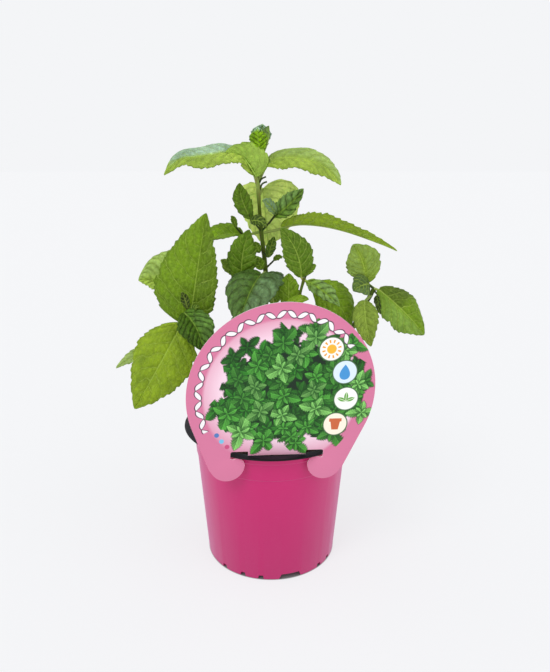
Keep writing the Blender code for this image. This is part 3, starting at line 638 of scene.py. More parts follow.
def pot_finish(name, colour, scuffed, roughness, shine, clear, glow):
    """Thermoformed sheet: an even colour with faint flow marks, fine scuffs, a moulded skin and a bluish
    glow on the sides that turn away, darkened towards the bottom by painted shade."""
    paint = Finish(name, {"Specular IOR Level": shine, "Coat Weight": clear, "Coat Roughness": 0.3,
                          "Sheen Weight": glow, "Sheen Roughness": 0.5, "Sheen Tint": (0.65, 0.38, 1.0)})
    place = paint.place()
    flow = paint.noise(paint.vector("MULTIPLY", place, (1.0, 1.0, 0.12)), 160.0, 2.0)
    cloud = paint.noise(place, 22.0, 2.0)
    scuffs = paint.noise(paint.vector("MULTIPLY", place, (1.0, 1.0, 9.0)), 240.0, 5.0)
    tint = paint.mix(paint.between(cloud, 0.3, 0.7, 0.0, 0.35), colour, tuple(part * 0.9 for part in colour))
    tint = paint.mix(paint.between(scuffs, 0.62, 0.8, 0.0, 0.3), tint, scuffed)
    # Painted shade: the colour darkens towards the bottom.
    _, _, rise = paint.split(place)
    paint.set(Base_Color=paint.scaled(tint, paint.between(rise, 0.0, POT_HEIGHT * MM, 0.8, 1.0)))
    smooth = paint.between(flow, 0.3, 0.7, roughness - 0.05, roughness + 0.06)
    paint.set(Roughness=smooth + paint.between(scuffs, 0.6, 0.85, 0.0, 0.12))
    paint.bump(flow + paint.noise(place, 2600.0, 2.0) * 0.12, 0.18, 0.0003)
    return paint.material


def peat_finish():
    """Damp peat: dark crumbs, brown fibres and a few pale specks."""
    paint = Finish("damp_peat", {"Specular IOR Level": 0.25})
    place = paint.place()
    grain = paint.noise(place, 420.0, 8.0)
    fibres = paint.noise(paint.vector("MULTIPLY", place, (1.0, 3.5, 1.0)), 330.0, 6.0)
    specks = paint.node("TexVoronoi", {"Vector": place, "Scale": 300.0}, "Distance")
    colour = paint.mix(paint.between(grain, 0.35, 0.65), srgb(30, 22, 16), srgb(74, 54, 38))
    colour = paint.mix(paint.between(fibres, 0.58, 0.7, 0.0, 0.8), colour, srgb(112, 84, 54))
    colour = paint.mix(paint.between(specks, 0.05, 0.12, 0.7, 0.0), colour, srgb(150, 136, 112))
    paint.set(Base_Color=colour, Roughness=paint.between(grain, 0.3, 0.7, 0.8, 0.98))
    paint.bump(grain + fibres, 0.8, 0.0008)
    return paint.material


def plain_plastic(name, colour, roughness):
    """Smooth sheet with a faint grain."""
    paint = Finish(name, {"Specular IOR Level": 0.5})
    grain = paint.noise(paint.place(), 900.0, 3.0)
    paint.set(Base_Color=paint.mix(grain, colour, tuple(part * 0.93 for part in colour)))
    paint.set(Roughness=paint.between(grain, 0.3, 0.7, roughness - 0.04, roughness + 0.05))
    paint.bump(grain, 0.1, 0.0001)
    return paint.material


def from_middle(paint, place, middle):
    """The place, measured from a mark's middle."""
    return paint.vector("SUBTRACT", place, (*middle, 0))


def oval_reach(paint, place, middle, size):
    """The distance from an oval's middle, 1 on its edge."""
    return paint.length(paint.vector("DIVIDE", from_middle(paint, place, middle), (*size, 1)))


def inside_oval(paint, place, middle, size, soft=0.02):
    """1 inside an oval and 0 outside it."""
    return paint.between(oval_reach(paint, place, middle, size), 1 - soft, 1 + soft, 1.0, 0.0)


def leaf_pair(paint, picture, away, turn, reach, dark, light, shown):
    """Two opposite toothed leaves, painted outwards from a sprig's middle with a shadow round them."""
    x, y, _ = paint.split(paint.turned(away, turn))
    along = abs(x) / reach
    aside = abs(y)
    plump = (1.22 - paint.fraction(along * 8.0) * 0.34) * reach
    edge = along * (1.0 - along) * plump - aside
    picture = paint.mix(paint.between(edge, -0.75, 0.0, 0.0, 0.8) * shown, picture, dark)
    stripes = paint.fraction(along * 5.0 - aside * 0.7)
    lit = paint.between(y, -0.12, 0.12, 0.0, 0.34) + along * 0.55
    lit = lit - paint.between(stripes, 0.0, 0.3, 0.28, 0.0)
    colour = paint.mix(lit, dark, light)
    colour = paint.mix(paint.between(aside, 0.04, 0.2, 0.55, 0.0), colour, paint.scaled(light, 1.4))
    return paint.mix(paint.between(edge, 0.0, 0.1) * shown, picture, colour)


def sprig_layer(paint, place, picture, layer):
    """Sprigs of opposite pairs of leaves painted over the picture, one in each cell of an uneven grid."""
    seed, pitch, reach, dark, light, share = layer
    moved = paint.vector("ADD", place, (*seed, 0))
    middle, chance = paint.node("TexVoronoi", {"Vector": moved, "Scale": 1 / pitch, "Randomness": 0.9},
                                ("Position", "Color"), voronoi_dimensions="2D")
    away = paint.vector("SUBTRACT", moved, middle)
    turn, size, shade = paint.node("SeparateColor", {0: chance}, (0, 1, 2))
    field = tuple(share * part for part in FIELD_SIZE)
    kept = inside_oval(paint, from_middle(paint, middle, seed), FIELD_MIDDLE, field, 0.001)
    turn = turn * (2 * pi)
    long = paint.between(size, 0.0, 1.0, reach * 0.7, reach * 1.15)
    shaded = paint.scaled(light, paint.between(shade, 0.2, 0.8, 0.62, 1.15))
    for angle, part in SPRIG_PAIRS:
        picture = leaf_pair(paint, picture, away, turn + angle, long * part, dark, shaded, kept)
    return picture


def garland(paint, place, picture):
    """White leaflets along the disc's upper left edge, leaning in and out by turns, with a dark line round
    each. They are counted from the top to the left."""
    x, y, _ = paint.split(place)
    number = paint.math("ARCTAN2", x * -1.0, y) * (GARLAND_CIRCLE / GARLAND_PITCH)
    counted = number + 40.0
    along = (paint.fraction(counted) - 0.5) * GARLAND_PITCH
    is_odd = paint.fraction(paint.math("FLOOR", counted) * 0.5)
    lean = paint.between(is_odd, 0.0, 0.5, -0.55, 0.55)
    aside = paint.length(place) - GARLAND_CIRCLE - along * lean
    edge = (1.0 - (along / 2.5) ** 2.0) * 1.4 - abs(aside)
    start, end = GARLAND_ENDS
    shown = paint.between(number, start - 0.1, start) * paint.between(number, end, end + 0.1, 1.0, 0.0)
    picture = paint.mix(paint.between(edge, -0.55, -0.35) * shown, picture, GARLAND_LINE)
    return paint.mix(paint.between(edge, 0.0, 0.15) * shown, picture, GARLAND_WHITE)


def disc_mark(paint, place, picture, middle, colour):
    """A round mark with a green rim line."""
    core = MARK_RADIUS - MARK_LINE
    rim = inside_oval(paint, place, middle, (MARK_RADIUS, MARK_RADIUS))
    picture = paint.mix(rim, picture, srgb(70, 110, 66))
    return paint.mix(inside_oval(paint, place, middle, (core, core)), picture, colour)


def sun_mark(paint, place, picture, middle):
    """A plain sun: a disc and twelve rays."""
    away = from_middle(paint, place, middle)
    x, y, _ = paint.split(away)
    radius = paint.length(away)
    turned = paint.math("ARCTAN2", y, x) * (12 / (2 * pi)) + 20.0
    rays = paint.between(abs(paint.fraction(turned) - 0.5), 0.16, 0.22, 1.0, 0.0)
    ring = paint.between(radius, 3.2, 3.4) * paint.between(radius, 4.9, 5.1, 1.0, 0.0)
    picture = paint.mix(rays * ring, picture, srgb(238, 160, 40))
    return paint.mix(paint.between(radius, 2.4, 2.6, 1.0, 0.0), picture, srgb(246, 186, 56))


def drop_mark(paint, place, picture, middle):
    """A plain blue drop of water."""
    size = 4.2
    x, y, _ = paint.split(from_middle(paint, place, middle))
    rise = (y + size) / (2 * size)
    half = paint.math("SQRT", paint.largest(rise, 0.0)) * (1.0 - rise) * (1.75 * size)
    return paint.mix(paint.between(half - abs(x), 0.0, 0.15), picture, srgb(70, 150, 214))


def leaf_mark(paint, place, picture, middle, lean):
    """A plain pointed leaf with a light midrib."""
    reach = 2.7
    x, y, _ = paint.split(paint.turned(from_middle(paint, place, middle), -lean))
    edge = (1.0 - (x / reach) ** 2.0) * (reach * 0.42) - abs(y)
    picture = paint.mix(paint.between(edge, 0.0, 0.15), picture, srgb(96, 164, 56))
    rib = paint.between(abs(y), 0.1, 0.25, 1.0, 0.0) * paint.between(edge, 0.0, 0.3)
    return paint.mix(rib, picture, srgb(226, 240, 210))


def leaves_mark(paint, place, picture, middle):
    """Three leaves that spread from one point."""
    for lean in (0.35, 1.57, 2.79):
        spread = (middle[0] + 2.4 * cos(lean), middle[1] - 1.2 + 2.4 * sin(lean))
        picture = leaf_mark(paint, place, picture, spread, lean)
    return picture


def pot_mark(paint, place, picture, middle):
    """A plain flowerpot with a rim."""
    x, y, _ = paint.split(from_middle(paint, place, middle))
    half = paint.between(y, -3.3, 1.3, 1.8, 2.6) + paint.between(y, 1.3, 1.4, 0.0, 0.8)
    level = paint.between(abs(y), 3.1, 3.3, 1.0, 0.0)
    return paint.mix(paint.between(half - abs(x), 0.0, 0.15) * level, picture, srgb(206, 104, 62))


def on_circle(radius, degrees):
    """A point of the print, at this angle from the right."""
    return radius * cos(radians(degrees)), radius * sin(radians(degrees))


def tag_finish():
    """The tag's printed face: pink that glows paler round a field of painted sprigs, with a garland, four
    round care marks and a row of dots. It reads the tag's own UV map, in millimetres from the disc's
    middle."""
    paint = Finish("tag_print", {"Specular IOR Level": 0.3, "Coat Weight": 0.06, "Coat Roughness": 0.2})
    place = paint.node("UVMap", {}, uv_map="print")
    reach = oval_reach(paint, place, FIELD_MIDDLE, FIELD_SIZE)
    glow = paint.between(reach, 0.85, 1.28, 1.0, 0.0) * 0.9
    inner = inside_oval(paint, place, (0, 0), (GLOW_CIRCLE, GLOW_CIRCLE))
    picture = paint.mix(inner, PINK, paint.mix(glow, PINK, GLOW))
    uneven = paint.noise(place, 0.35, 4.0) * 0.5
    picture = paint.mix(paint.between(reach + uneven, 0.98, 1.02, 1.0, 0.0), picture, FIELD_SHADE)
    for layer in SPRIG_LAYERS:
        picture = sprig_layer(paint, place, picture, layer)
    picture = garland(paint, place, picture)
    marks = (sun_mark, drop_mark, leaves_mark, pot_mark)
    for turn, ground, mark in zip(MARK_TURNS, MARK_GROUNDS, marks):
        middle = on_circle(MARK_CIRCLE, turn)
        picture = disc_mark(paint, place, picture, middle, ground)
        picture = mark(paint, place, picture, middle)
    for turn, colour in zip(DOT_TURNS, DOT_COLOURS):
        dot = inside_oval(paint, place, on_circle(DOT_CIRCLE, turn), (DOT_RADIUS, DOT_RADIUS), 0.08)
        picture = paint.mix(dot, picture, colour)
    grain = paint.noise(place, 1.4, 3.0)
    paint.set(Base_Color=picture, Roughness=paint.between(grain, 0.3, 0.7, 0.42, 0.5))
    paint.bump(paint.noise(place, 6.0, 2.0), 0.05, 0.0001)
    return paint.material


def placed(name, data):
    """A new object in the scene."""
    made = bpy.data.objects.new(name, data)
    bpy.context.scene.collection.objects.link(made)
    return made


def add_piece(name, mesh, finishes, slot, *nodes):
    """Puts a finished mesh in the scene on the object's body, in place of the named nodes."""
    made = placed(name, mesh)
    for finish in finishes:
        mesh.materials.append(finish)
    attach(made, BODY)
    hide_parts(*nodes)
    return made


def turn_outwards(shape):
    """Turns every face of a closed shape outwards."""
    shape.normal_update()
    bmesh.ops.recalc_face_normals(shape, faces=shape.faces)


def to_mesh(shape, name):
    mesh = bpy.data.meshes.new(name)
    shape.to_mesh(mesh)
    shape.free()
    return mesh


def smooth_shaded(mesh, degrees):
    """The mesh, shaded smooth up to this angle between faces."""
    mesh.shade_smooth()
    mesh.set_sharp_from_angle(angle=radians(degrees))
    return mesh


def evaluated_mesh(made):
    """A new mesh with the object's modifiers applied, or a curve's tube."""
    graph = bpy.context.evaluated_depsgraph_get()
    return bpy.data.meshes.new_from_object(made.evaluated_get(graph))


def held(value):
    """The value, held between 0 and 1."""
    return min(1.0, max(0.0, value))


def spline_point(before, first, second, after, t):
    """The place at t, from 0 to 1, on a smooth curve from the first point to the second, and the way on."""
    slope = second - before
    square = 2 * before - 5 * first + 4 * second - after
    cube = 3 * first - before - 3 * second + after
    place = first + 0.5 * (slope * t + square * t ** 2 + cube * t ** 3)
    return place, slope + 2 * square * t + 3 * cube * t ** 2


def along_curve(points, share):
    """The place, and the way onward, at this share of a smooth curve through evenly spaced points."""
    points = [Vector(point) for point in points]
    points = [2 * points[0] - points[1], *points, 2 * points[-1] - points[-2]]
    reach = min(share, 0.9999) * (len(points) - 3)
    number = int(reach)
    return spline_point(*points[number:number + 4], reach - number)


def smooth_route(points, steps):
    """More points along a smooth curve through the given (x, y, z, radius) points."""
    points = [Vector(point) for point in (points[0], *points, points[-1])]
    route = [spline_point(*points[number:number + 4], step / steps)[0]
             for number in range(len(points) - 3) for step in range(steps)]
    return route + [points[-1]]


def outline_width(share, widest):
    """Half width of an ovate blade at this share of its length, 1 at its widest."""
    if share < widest:
        return sin(pi / 2 * (share / widest)) ** 0.62
    return max(cos(pi / 2 * ((share - widest) / (1 - widest))), 0) ** 0.85


def rib_half(share):
    """Half width of the midrib at this share of the blade."""
    return RIB_HALF - RIB_TAPER * share


def leaf_axes(leaf, share):
    """At this share of the blade: a point on the midrib, the way to its right edge and the way it faces."""
    base, tip, crest = Vector(leaf.base), Vector(leaf.tip), Vector(leaf.crest)
    chord = tip - base
    middle = base + chord * share + crest * (4 * share * (1 - share))
    tangent = chord + 4 * (1 - 2 * share) * crest
    if leaf.bend:
        middle, tangent = along_curve((leaf.base, *leaf.bend, leaf.tip), share)
    tangent = tangent.normalized()
    face = Vector(leaf.face)
    face = (face - tangent * face.dot(tangent)).normalized()
    return middle, tangent.cross(face), face


def leaf_length(leaf):
    """Length of the midrib, along its curve."""
    points = [leaf_axes(leaf, step / 8)[0] for step in range(9)]
    return sum((second - first).length for first, second in zip(points, points[1:]))


def blade_relief(leaf, share, across, half, length):
    """The run past the side veins, how far the skin swells between them, from 0 to 1, and its height."""
    reach = abs(across)
    width = outline_width(share, leaf.widest)
    lean = VEIN_LEAN * half / length * reach ** 1.25
    uneven = 0.2 * noise.noise(Vector((share * 5, across * 2.5, leaf.width)))
    run = (share - lean) * leaf.veins + (VEIN_STAGGER if across > 0 else 0.0) + uneven
    dome = abs(sin(pi * run)) ** 0.7
    rung = reach * half * width / BLISTER + BLISTER_STAGGER * floor(run) + 3 * uneven
    cross = abs(sin(pi * rung)) ** 0.6
    midrib = exp(-(reach * half * width / rib_half(share)) ** 2)
    flatter = min(1.0, 1.6 * width) * (1 - reach ** 6) * min(1.0, reach * half / 1.6)
    height = 1.3 * leaf.quilt * (dome * (0.5 + 0.5 * cross) - 0.4) * flatter
    return run, max(dome * (0.55 + 0.45 * cross), midrib), height - 0.25 * midrib


def blade_point(leaf, axes, share, across, half, height, seed):
    """A point of the blade's middle surface, from 0 at its base to 1 at its tip and from -1 to 1 across."""
    middle, side, up = axes
    width = outline_width(share, leaf.widest)
    edge = abs(across) ** 1.5 * width
    ripple = leaf.wave * sin(share * leaf.ripples * 2.1 + (1.3 if across > 0 else 0)) * edge
    puff = 0.045 * leaf.width * sin(pi * abs(across)) * width
    sway = 0.8 * noise.noise(Vector((share * 3.1, across * 1.4, seed))) * edge
    back = up.cross(side) * (leaf.heart * abs(across) * width * (1 - share) ** 2)
    rise = leaf.fold * edge + ripple + puff + sway + height
    return middle + side * (across * half * width) + up * rise - back


def tooth_cut(leaf, row, steps, share, half, number):
    """The share of a half's width that is cut away: most where a tooth starts, and nothing at its point."""
    deep = min(DEEPEST_CUT, TOOTH_CUT / max(half * outline_width(share, leaf.widest), 1.0))
    fade = held((share - 0.06) * 12) * (0.7 + 0.3 * sin(row // steps * 2.4 + number))
    return deep * (1 - (row % steps) / (steps - 1)) * fade


def skin_tone(leaf, share, across, swell, number):
    """The skin's colour, and how crinkled the leaf is as its alpha. The colour holds each half's painted
    light and shade, a painted silvery sheen and painted shade in the grooves of a quilted leaf, and it is
    darker at its edge."""
    side = 1 if across > 0 else 0
    mottle = 0.5 + 0.5 * noise.noise(Vector((share * 5, across * 3, number * 3.7)))
    # Painted sheen: a silvery reflection of the bright surroundings, mixed into the colour.
    sheen = leaf.silver[side] * min(1.0, abs(across) * 4, share * 3)
    sheen *= (0.4 + 0.6 * swell) * (0.7 + 0.3 * mottle)
    sheen = min(0.95, sheen * held(min(share - leaf.sheen_start, leaf.sheen_end - share) * 10))
    # Each half's brightness, partly its tone and partly painted light and shade.
    bright = leaf.halves[side]
    bright += (max(leaf.halves) - bright) * held((share - leaf.even_from) * 8)
    bright *= 0.9 + 0.2 * mottle
    # Painted shade in the grooves between the swellings.
    bright *= 1 - (0.18 + 0.42 * held((leaf.quilt - 0.6) * 3)) * (1 - swell)
    bright *= 1 - 0.6 * min(leaf.quilt, 0.5) * abs(across) ** 16
    colour = (Vector(TONES[leaf.tone]) * bright).lerp(Vector(PAINTED_SHEEN_COLOUR), sheen)
    return (*colour, min(1.0, 0.3 + 0.8 * leaf.quilt))


def add_blade(shape, leaf, number, tones, blades, ribs):
    """A fine grid mapped onto the blade, toothed along both edges, with its tone and what its veins need in
    attributes."""
    length = leaf_length(leaf)
    steps = 5 if leaf.grain < 0.8 else 3
    rows = steps * max(4, round(length / TOOTH_PITCH))
    broadest = leaf.width / 2 * max(leaf.left_width, leaf.right_width)
    strips = 2 * max(4, round(broadest / leaf.grain))
    made = bmesh.ops.create_grid(shape, x_segments=rows, y_segments=strips, size=0.5)["verts"]
    axes = {}
    for corner in made:
        row = round((corner.co.x + 0.5) * rows)
        across = 2 * corner.co.y
        share = max(row / rows, FIRST_ROW)
        if row not in axes:
            axes[row] = leaf_axes(leaf, share)
        is_right = across > 0
        half = leaf.width / 2 * (leaf.right_width if is_right else leaf.left_width)
        run, swell, height = blade_relief(leaf, share, across, half, length)
        cut = tooth_cut(leaf, row, steps, share, half, number)
        ragged = RAGGED * noise.noise(Vector((share * length / 5, 9.0 if is_right else 2.0, number * 1.7)))
        cut_to = across * (1 - cut * abs(across) ** 9 + ragged * abs(across) ** 3)
        corner.co = blade_point(leaf, axes[row], share, cut_to, half, height, number * 7.3) * MM
        corner[tones] = skin_tone(leaf, share, across, swell, number)
        aside = abs(across) * half * outline_width(share, leaf.widest)
        corner[blades] = (run, aside, length / leaf.veins)
        corner[ribs] = rib_half(share)
    faces = {face for corner in made for face in corner.link_faces}
    bmesh.ops.reverse_faces(shape, faces=list(faces))
    bmesh.ops.remove_doubles(shape, verts=made, dist=1e-5)


def add_leaves(name, plan, finishes):
    """All the blades of a leafy stem in one piece, with the second finish on their undersides."""
    shape = bmesh.new()
    tones = shape.verts.layers.float_color.new("tone")
    blades = shape.verts.layers.float_vector.new("blade")
    ribs = shape.verts.layers.float.new("rib")
    for number, leaf in enumerate(plan["leaves"]):
        add_blade(shape, leaf, number, tones, blades, ribs)
    mesh = to_mesh(shape, name)
    mesh.shade_smooth()
    made = add_piece(name, mesh, finishes, "mint_leaf", name.replace("leaves", "stem"))
    shell = made.modifiers.new("thickness", "SOLIDIFY")
    shell.thickness = BLADE_THICK * MM
    shell.offset = 0
    shell.material_offset = 1


def square_section():
    """A closed curve round a mint stem's section: square, with rounded ribs and shallow hollows between."""
    curve = bpy.data.curves.new("stem section", "CURVE")
    line = curve.splines.new("POLY")
    sides = 16
    line.points.add(sides - 1)
    line.use_cyclic_u = True
    for number, point in enumerate(line.points):
        angle = 2 * pi * number / sides
        radius = 0.98 + 0.16 * cos(4 * angle)
        point.co = (radius * MM * cos(angle), radius * MM * sin(angle), 0, 1)
    return placed("stem section", curve)


def tube_mesh(route, section=None):
    """A closed tube through (x, y, z, radius) points, round unless a section is given."""
    curve = bpy.data.curves.new("stalk", "CURVE")
    curve.dimensions = "3D"
    curve.use_fill_caps = True
    if section:
        curve.bevel_mode = "OBJECT"
        curve.bevel_object = section
    else:
        curve.bevel_depth = MM
        curve.bevel_resolution = 2
    line = curve.splines.new("POLY")
    line.points.add(len(route) - 1)
    for point, (x, y, z, radius) in zip(line.points, route):
        point.co = (x * MM, y * MM, z * MM, 1)
        point.radius = radius
    guide = placed("stalk", curve)
    mesh = evaluated_mesh(guide)
    bpy.data.objects.remove(guide)
    return mesh


def petiole_route(leaf):
    """From inside the stem to the blade's base and on along the underside as its raised midrib."""
    size = PETIOLE_RADIUS * (SMALL_PETIOLE if leaf.width < 15 else 1.0)
    route = [(*leaf.joint, size)]
    for share, slimmer in PETIOLE_TAPER:
        middle, _, up = leaf_axes(leaf, share)
        route.append((*(middle - up * (0.25 + 0.55 * size * slimmer)), size * slimmer))
    return smooth_route(route, 4)


def swollen(route, leaves):
    """The stem's route, a little thicker at each node where a petiole leaves it."""
    for point in route:
        near = min((Vector(leaf.joint) - point.to_3d()).length for leaf in leaves)
        point.w *= 1 + NODE_SWELL * exp(-(near / NODE_REACH) ** 2)
    return route


def add_stalks(name, plan, section, finish):
    """A leafy stem's square stem, its petioles and any bare stubs, in one piece. The stem turns pale where
    it is young, near its top."""
    x, y, radius = plan["foot"]
    points = [(x, y, PEAT_TOP - STEM_DEPTH, radius), (x, y, PEAT_TOP + 4, radius)] + plan["route"]
    stem = swollen(smooth_route(points, 10), plan["leaves"])
    tubes = [(stem, section, STALKS["brown"])]
    tubes += [(petiole_route(leaf), None, STALKS[leaf.stalk]) for leaf in plan["leaves"]]
    tubes += [(smooth_route(stub, 3), None, STALKS["dark"]) for stub in plan.get("stubs", ())]
    shape = bmesh.new()
    tones = shape.verts.layers.float_color.new("tone")
    for route, outline, tone in tubes:
        start = len(shape.verts)
        shape.from_mesh(tube_mesh(route, outline))
        shape.verts.ensure_lookup_table()
        for corner in shape.verts[start:]:
            young = held((corner.co.z / MM - YOUNG_STEM_Z) / YOUNG_STEM_FADE) if outline else 0.0
            corner[tones] = (*Vector(tone).lerp(Vector(STALKS["pale"]), young), 1.0)
    bmesh.ops.remove_doubles(shape, verts=shape.verts, dist=1e-6)
    turn_outwards(shape)
    mesh = smooth_shaded(to_mesh(shape, name), 50)
    add_piece(name, mesh, [finish], "mint_leaf", name.replace("stalks", "stem"))


def build_plant():
    """Every leafy stem, as a piece of leaves and a piece of stalks."""
    top = leaf_finish("leaf_upper_side", srgb(178, 206, 88), 0.0, 0.5)
    under = leaf_finish("leaf_underside", srgb(180, 204, 110), 0.16, 0.55)
    stalk = stalk_finish()
    section = square_section()
    for name, plan in STEMS.items():
        add_leaves(name.replace("stem", "leaves"), plan, [top, under])
        add_stalks(name.replace("stem", "stalks"), plan, section, stalk)
    bpy.data.objects.remove(section)


def wall_radius(height):
    """Outer radius of the pot's wall below the low step."""
    return FOOT_RADIUS + WALL_TAPER * height


def pot_profile():
    """From the middle of the floor up the inside, over the flange, down the outside and under the floor."""
    low, high = LOW_STEP_Z, HIGH_STEP_Z
    low_radius = wall_radius(low)
    band_radius = low_radius + STEP_OUT
    band_top = band_radius + WALL_TAPER * (high - low)
    neck = band_top + STEP_OUT
    neck_top = neck + WALL_TAPER * (POT_HEIGHT - high)
    floor_top = FLOOR_UNDER + WALL
    under = POT_HEIGHT - FLANGE_THICK
    return [
        (0, floor_top),
        (wall_radius(floor_top) - WALL, floor_top),
        (low_radius - WALL, low - 0.3),
        (band_radius - WALL, low + 0.5),
        (band_top - WALL, high - 0.3),
        (neck - WALL, high + 0.5),
        (neck_top - WALL, POT_HEIGHT - 0.8),
        (neck_top, POT_HEIGHT),
        (FLANGE_RADIUS - 0.3, POT_HEIGHT),
        (FLANGE_RADIUS, POT_HEIGHT - 0.3),
        (FLANGE_RADIUS, under + 0.2),
        (FLANGE_RADIUS - 0.2, under),
        (neck_top + 0.5, under),
        (neck_top, under - 0.5),
        (neck, high + 0.3),
        (band_top, high - 0.3),
        (band_radius, low + 0.3),
        (low_radius, low - 0.3),
        (wall_radius(0.5), 0.5),
        (FOOT_RADIUS - 0.4, 0),
        (FOOT_RADIUS - FOOT_RING, 0),
        (FOOT_RADIUS - FOOT_RING - 0.5, FLOOR_UNDER),
        (0, FLOOR_UNDER),
    ]


def turned_shape(points, steps, rounding):
    """A closed profile of (radius, height) points with rounded corners, spun about the Z axis."""
    shape = bmesh.new()
    corners = [shape.verts.new((radius * MM, 0, height * MM)) for radius, height in points]
    for first, second in zip(corners, corners[1:]):
        shape.edges.new((first, second))
    if rounding:
        bmesh.ops.bevel(shape, geom=corners[1:-1], offset=rounding * MM, offset_type="OFFSET", segments=3,
                        profile=0.5, affect="VERTICES", clamp_overlap=True, material=-1)
    bmesh.ops.spin(shape, geom=shape.verts[:] + shape.edges[:], cent=(0, 0, 0), axis=(0, 0, 1),
                   dvec=(0, 0, 0), angle=2 * pi, steps=steps, use_merge=True, use_duplicate=False)
    bmesh.ops.remove_doubles(shape, verts=shape.verts, dist=1e-6)
    turn_outwards(shape)
    return shape


def around(radius, degrees):
    """A point at this angle from the front, which grows to the right."""
    angle = radians(degrees)
    return radius * sin(angle), -radius * cos(angle)


def add_wedge(shape, angles, height, slope):
    """A cutter for a foot notch between two angles in degrees, narrower at its top by slope on each side."""
    middle = sum(angles) / 2
    half = (angles[1] - angles[0]) / 2
    for corner in bmesh.ops.create_cube(shape, size=1)["verts"]:
        side = -1 if corner.co.x < 0 else 1
        is_top = corner.co.z > 0
        is_outer = corner.co.y < 0
        reach = FOOT_RADIUS + NOTCH_OUTWARDS if is_outer else FOOT_RADIUS - FOOT_RING - NOTCH_INWARDS
        x, y = around(reach, middle + side * (half - (slope if is_top else 0)))
        corner.co = Vector((x, y, height if is_top else -1)) * MM


def foot_cutters():
    """Every notch and drain hole, in one mesh."""
    shape = bmesh.new()
    half = SMALL_NOTCH_WIDTH / FOOT_RADIUS * 90 / pi
    for turned in (0, 180):
        for angle in SMALL_NOTCH_ANGLES:
            middle = angle + turned
            add_wedge(shape, (middle - half, middle + half), SMALL_NOTCH_HEIGHT, SMALL_NOTCH_SLOPE)
        start, end = WIDE_NOTCH_ANGLES
        add_wedge(shape, (start + turned, end + turned), WIDE_NOTCH_HEIGHT, WIDE_NOTCH_SLOPE)
    for place in range(DRAIN_HOLES):
        x, y = around(DRAIN_CIRCLE, 360 / DRAIN_HOLES * place)
        made = bmesh.ops.create_cone(shape, cap_ends=True, segments=DRAIN_SIDES, radius1=DRAIN_RADIUS * MM,
                                     radius2=DRAIN_RADIUS * MM, depth=4 * WALL * MM)["verts"]
        bmesh.ops.translate(shape, verts=made, vec=Vector((x, y, FLOOR_UNDER + WALL / 2)) * MM)
    turn_outwards(shape)
    return to_mesh(shape, "foot cutters")


def is_black(place):
    """Whether this point of the pot lies on the sheet's black inner layer or on the flange's top and rim."""
    radius = hypot(place.x, place.y) / MM
    height = place.z / MM
    if height > POT_HEIGHT - FLANGE_THICK + 0.05:
        return True
    if height < FLOOR_UNDER + WALL / 2:
        return False
    step = STEP_OUT * ((height > LOW_STEP_Z) + (height > HIGH_STEP_Z))
    return radius < wall_radius(height) + step - WALL / 2


def build_pot():
    """The pot's turned sheet with its notches and drain holes cut, pink outside and black inside."""
    blank = placed("pot blank", to_mesh(turned_shape(pot_profile(), POT_STEPS, POT_ROUNDING), "nursery_pot"))
    cutter = placed("foot cutters", foot_cutters())
    cut = blank.modifiers.new("notches and drains", "BOOLEAN")
    cut.operation = "DIFFERENCE"
    cut.object = cutter
    cut.solver = "EXACT"
    mesh = evaluated_mesh(blank)
    bpy.data.objects.remove(blank)
    bpy.data.objects.remove(cutter)
    mesh.materials.clear()
    pink = pot_finish("pot_pink_layer", srgb(199, 8, 103), srgb(210, 70, 134), roughness=0.42, shine=0.34,
                      clear=0.25, glow=0.17)
    black = pot_finish("pot_black_layer", srgb(5, 4, 11), srgb(24, 22, 32), roughness=0.4, shine=0.2,
                       clear=0.0, glow=0.03)
    add_piece("nursery_pot", mesh, [pink, black], "pot_plastic", "pot")
    for face in mesh.polygons:
        face.material_index = int(is_black(face.center))
    smooth_shaded(mesh, 35)


def peat_profile():
    """The peat's outline from the middle of its top outwards and down to the floor."""
    band_radius = wall_radius(LOW_STEP_Z) - WALL + STEP_OUT - PEAT_CLEARANCE
    top_radius = band_radius + WALL_TAPER * (PEAT_TOP - LOW_STEP_Z)
    top = [(top_radius * ring / PEAT_RINGS, PEAT_TOP) for ring in range(PEAT_RINGS + 1)]
    bottom = FLOOR_UNDER + WALL + GAP
    low = LOW_STEP_Z - 0.6
    return top + [
        (band_radius, LOW_STEP_Z + 0.9),
        (wall_radius(low) - WALL - GAP, low),
        (wall_radius(bottom) - WALL - GAP, bottom),
        (0, bottom),
    ]


def peat_lift(x, y):
    """Height of the peat's mounds and crumbs over its level."""
    mounds = 1.3 * sin(x * 0.21 + 0.6) * cos(y * 0.17) + 0.8 * sin(x * 0.37 - y * 0.29)
    crumbs = 1.5 * noise.fractal(Vector((x * 0.3, y * 0.3, 4.0)), 0.8, 2.1, 5)
    return (mounds + crumbs) * max(0.0, 1 - (hypot(x, y) / MOUNDS_END) ** 8)


def build_peat():
    """The peat, with its top lifted in mounds and strewn with uneven crumbs."""
    shape = turned_shape(peat_profile(), PEAT_STEPS, 0)
    for corner in shape.verts:
        if corner.co.z > (PEAT_TOP - 1) * MM:
            corner.co.z += peat_lift(corner.co.x / MM, corner.co.y / MM) * MM
    chance = Random(CRUMB_SEED)
    for _ in range(CRUMBS):
        angle = chance.uniform(0, 2 * pi)
        reach = CRUMB_REACH * chance.random() ** 0.5
        size = chance.uniform(*CRUMB_SIZES)
        x, y = reach * cos(angle), reach * sin(angle)
        made = bmesh.ops.create_icosphere(shape, subdivisions=1, radius=size * MM)["verts"]
        for corner in made:
            corner.co *= chance.uniform(0.7, 1.2)
            corner.co.z *= CRUMB_FLATNESS
        lift = PEAT_TOP + peat_lift(x, y) + 0.15 * size
        bmesh.ops.translate(shape, verts=made, vec=Vector((x, y, lift)) * MM)
    mesh = smooth_shaded(to_mesh(shape, "peat_fill"), 40)
    add_piece("peat_fill", mesh, [peat_finish()], "peat", "peat")


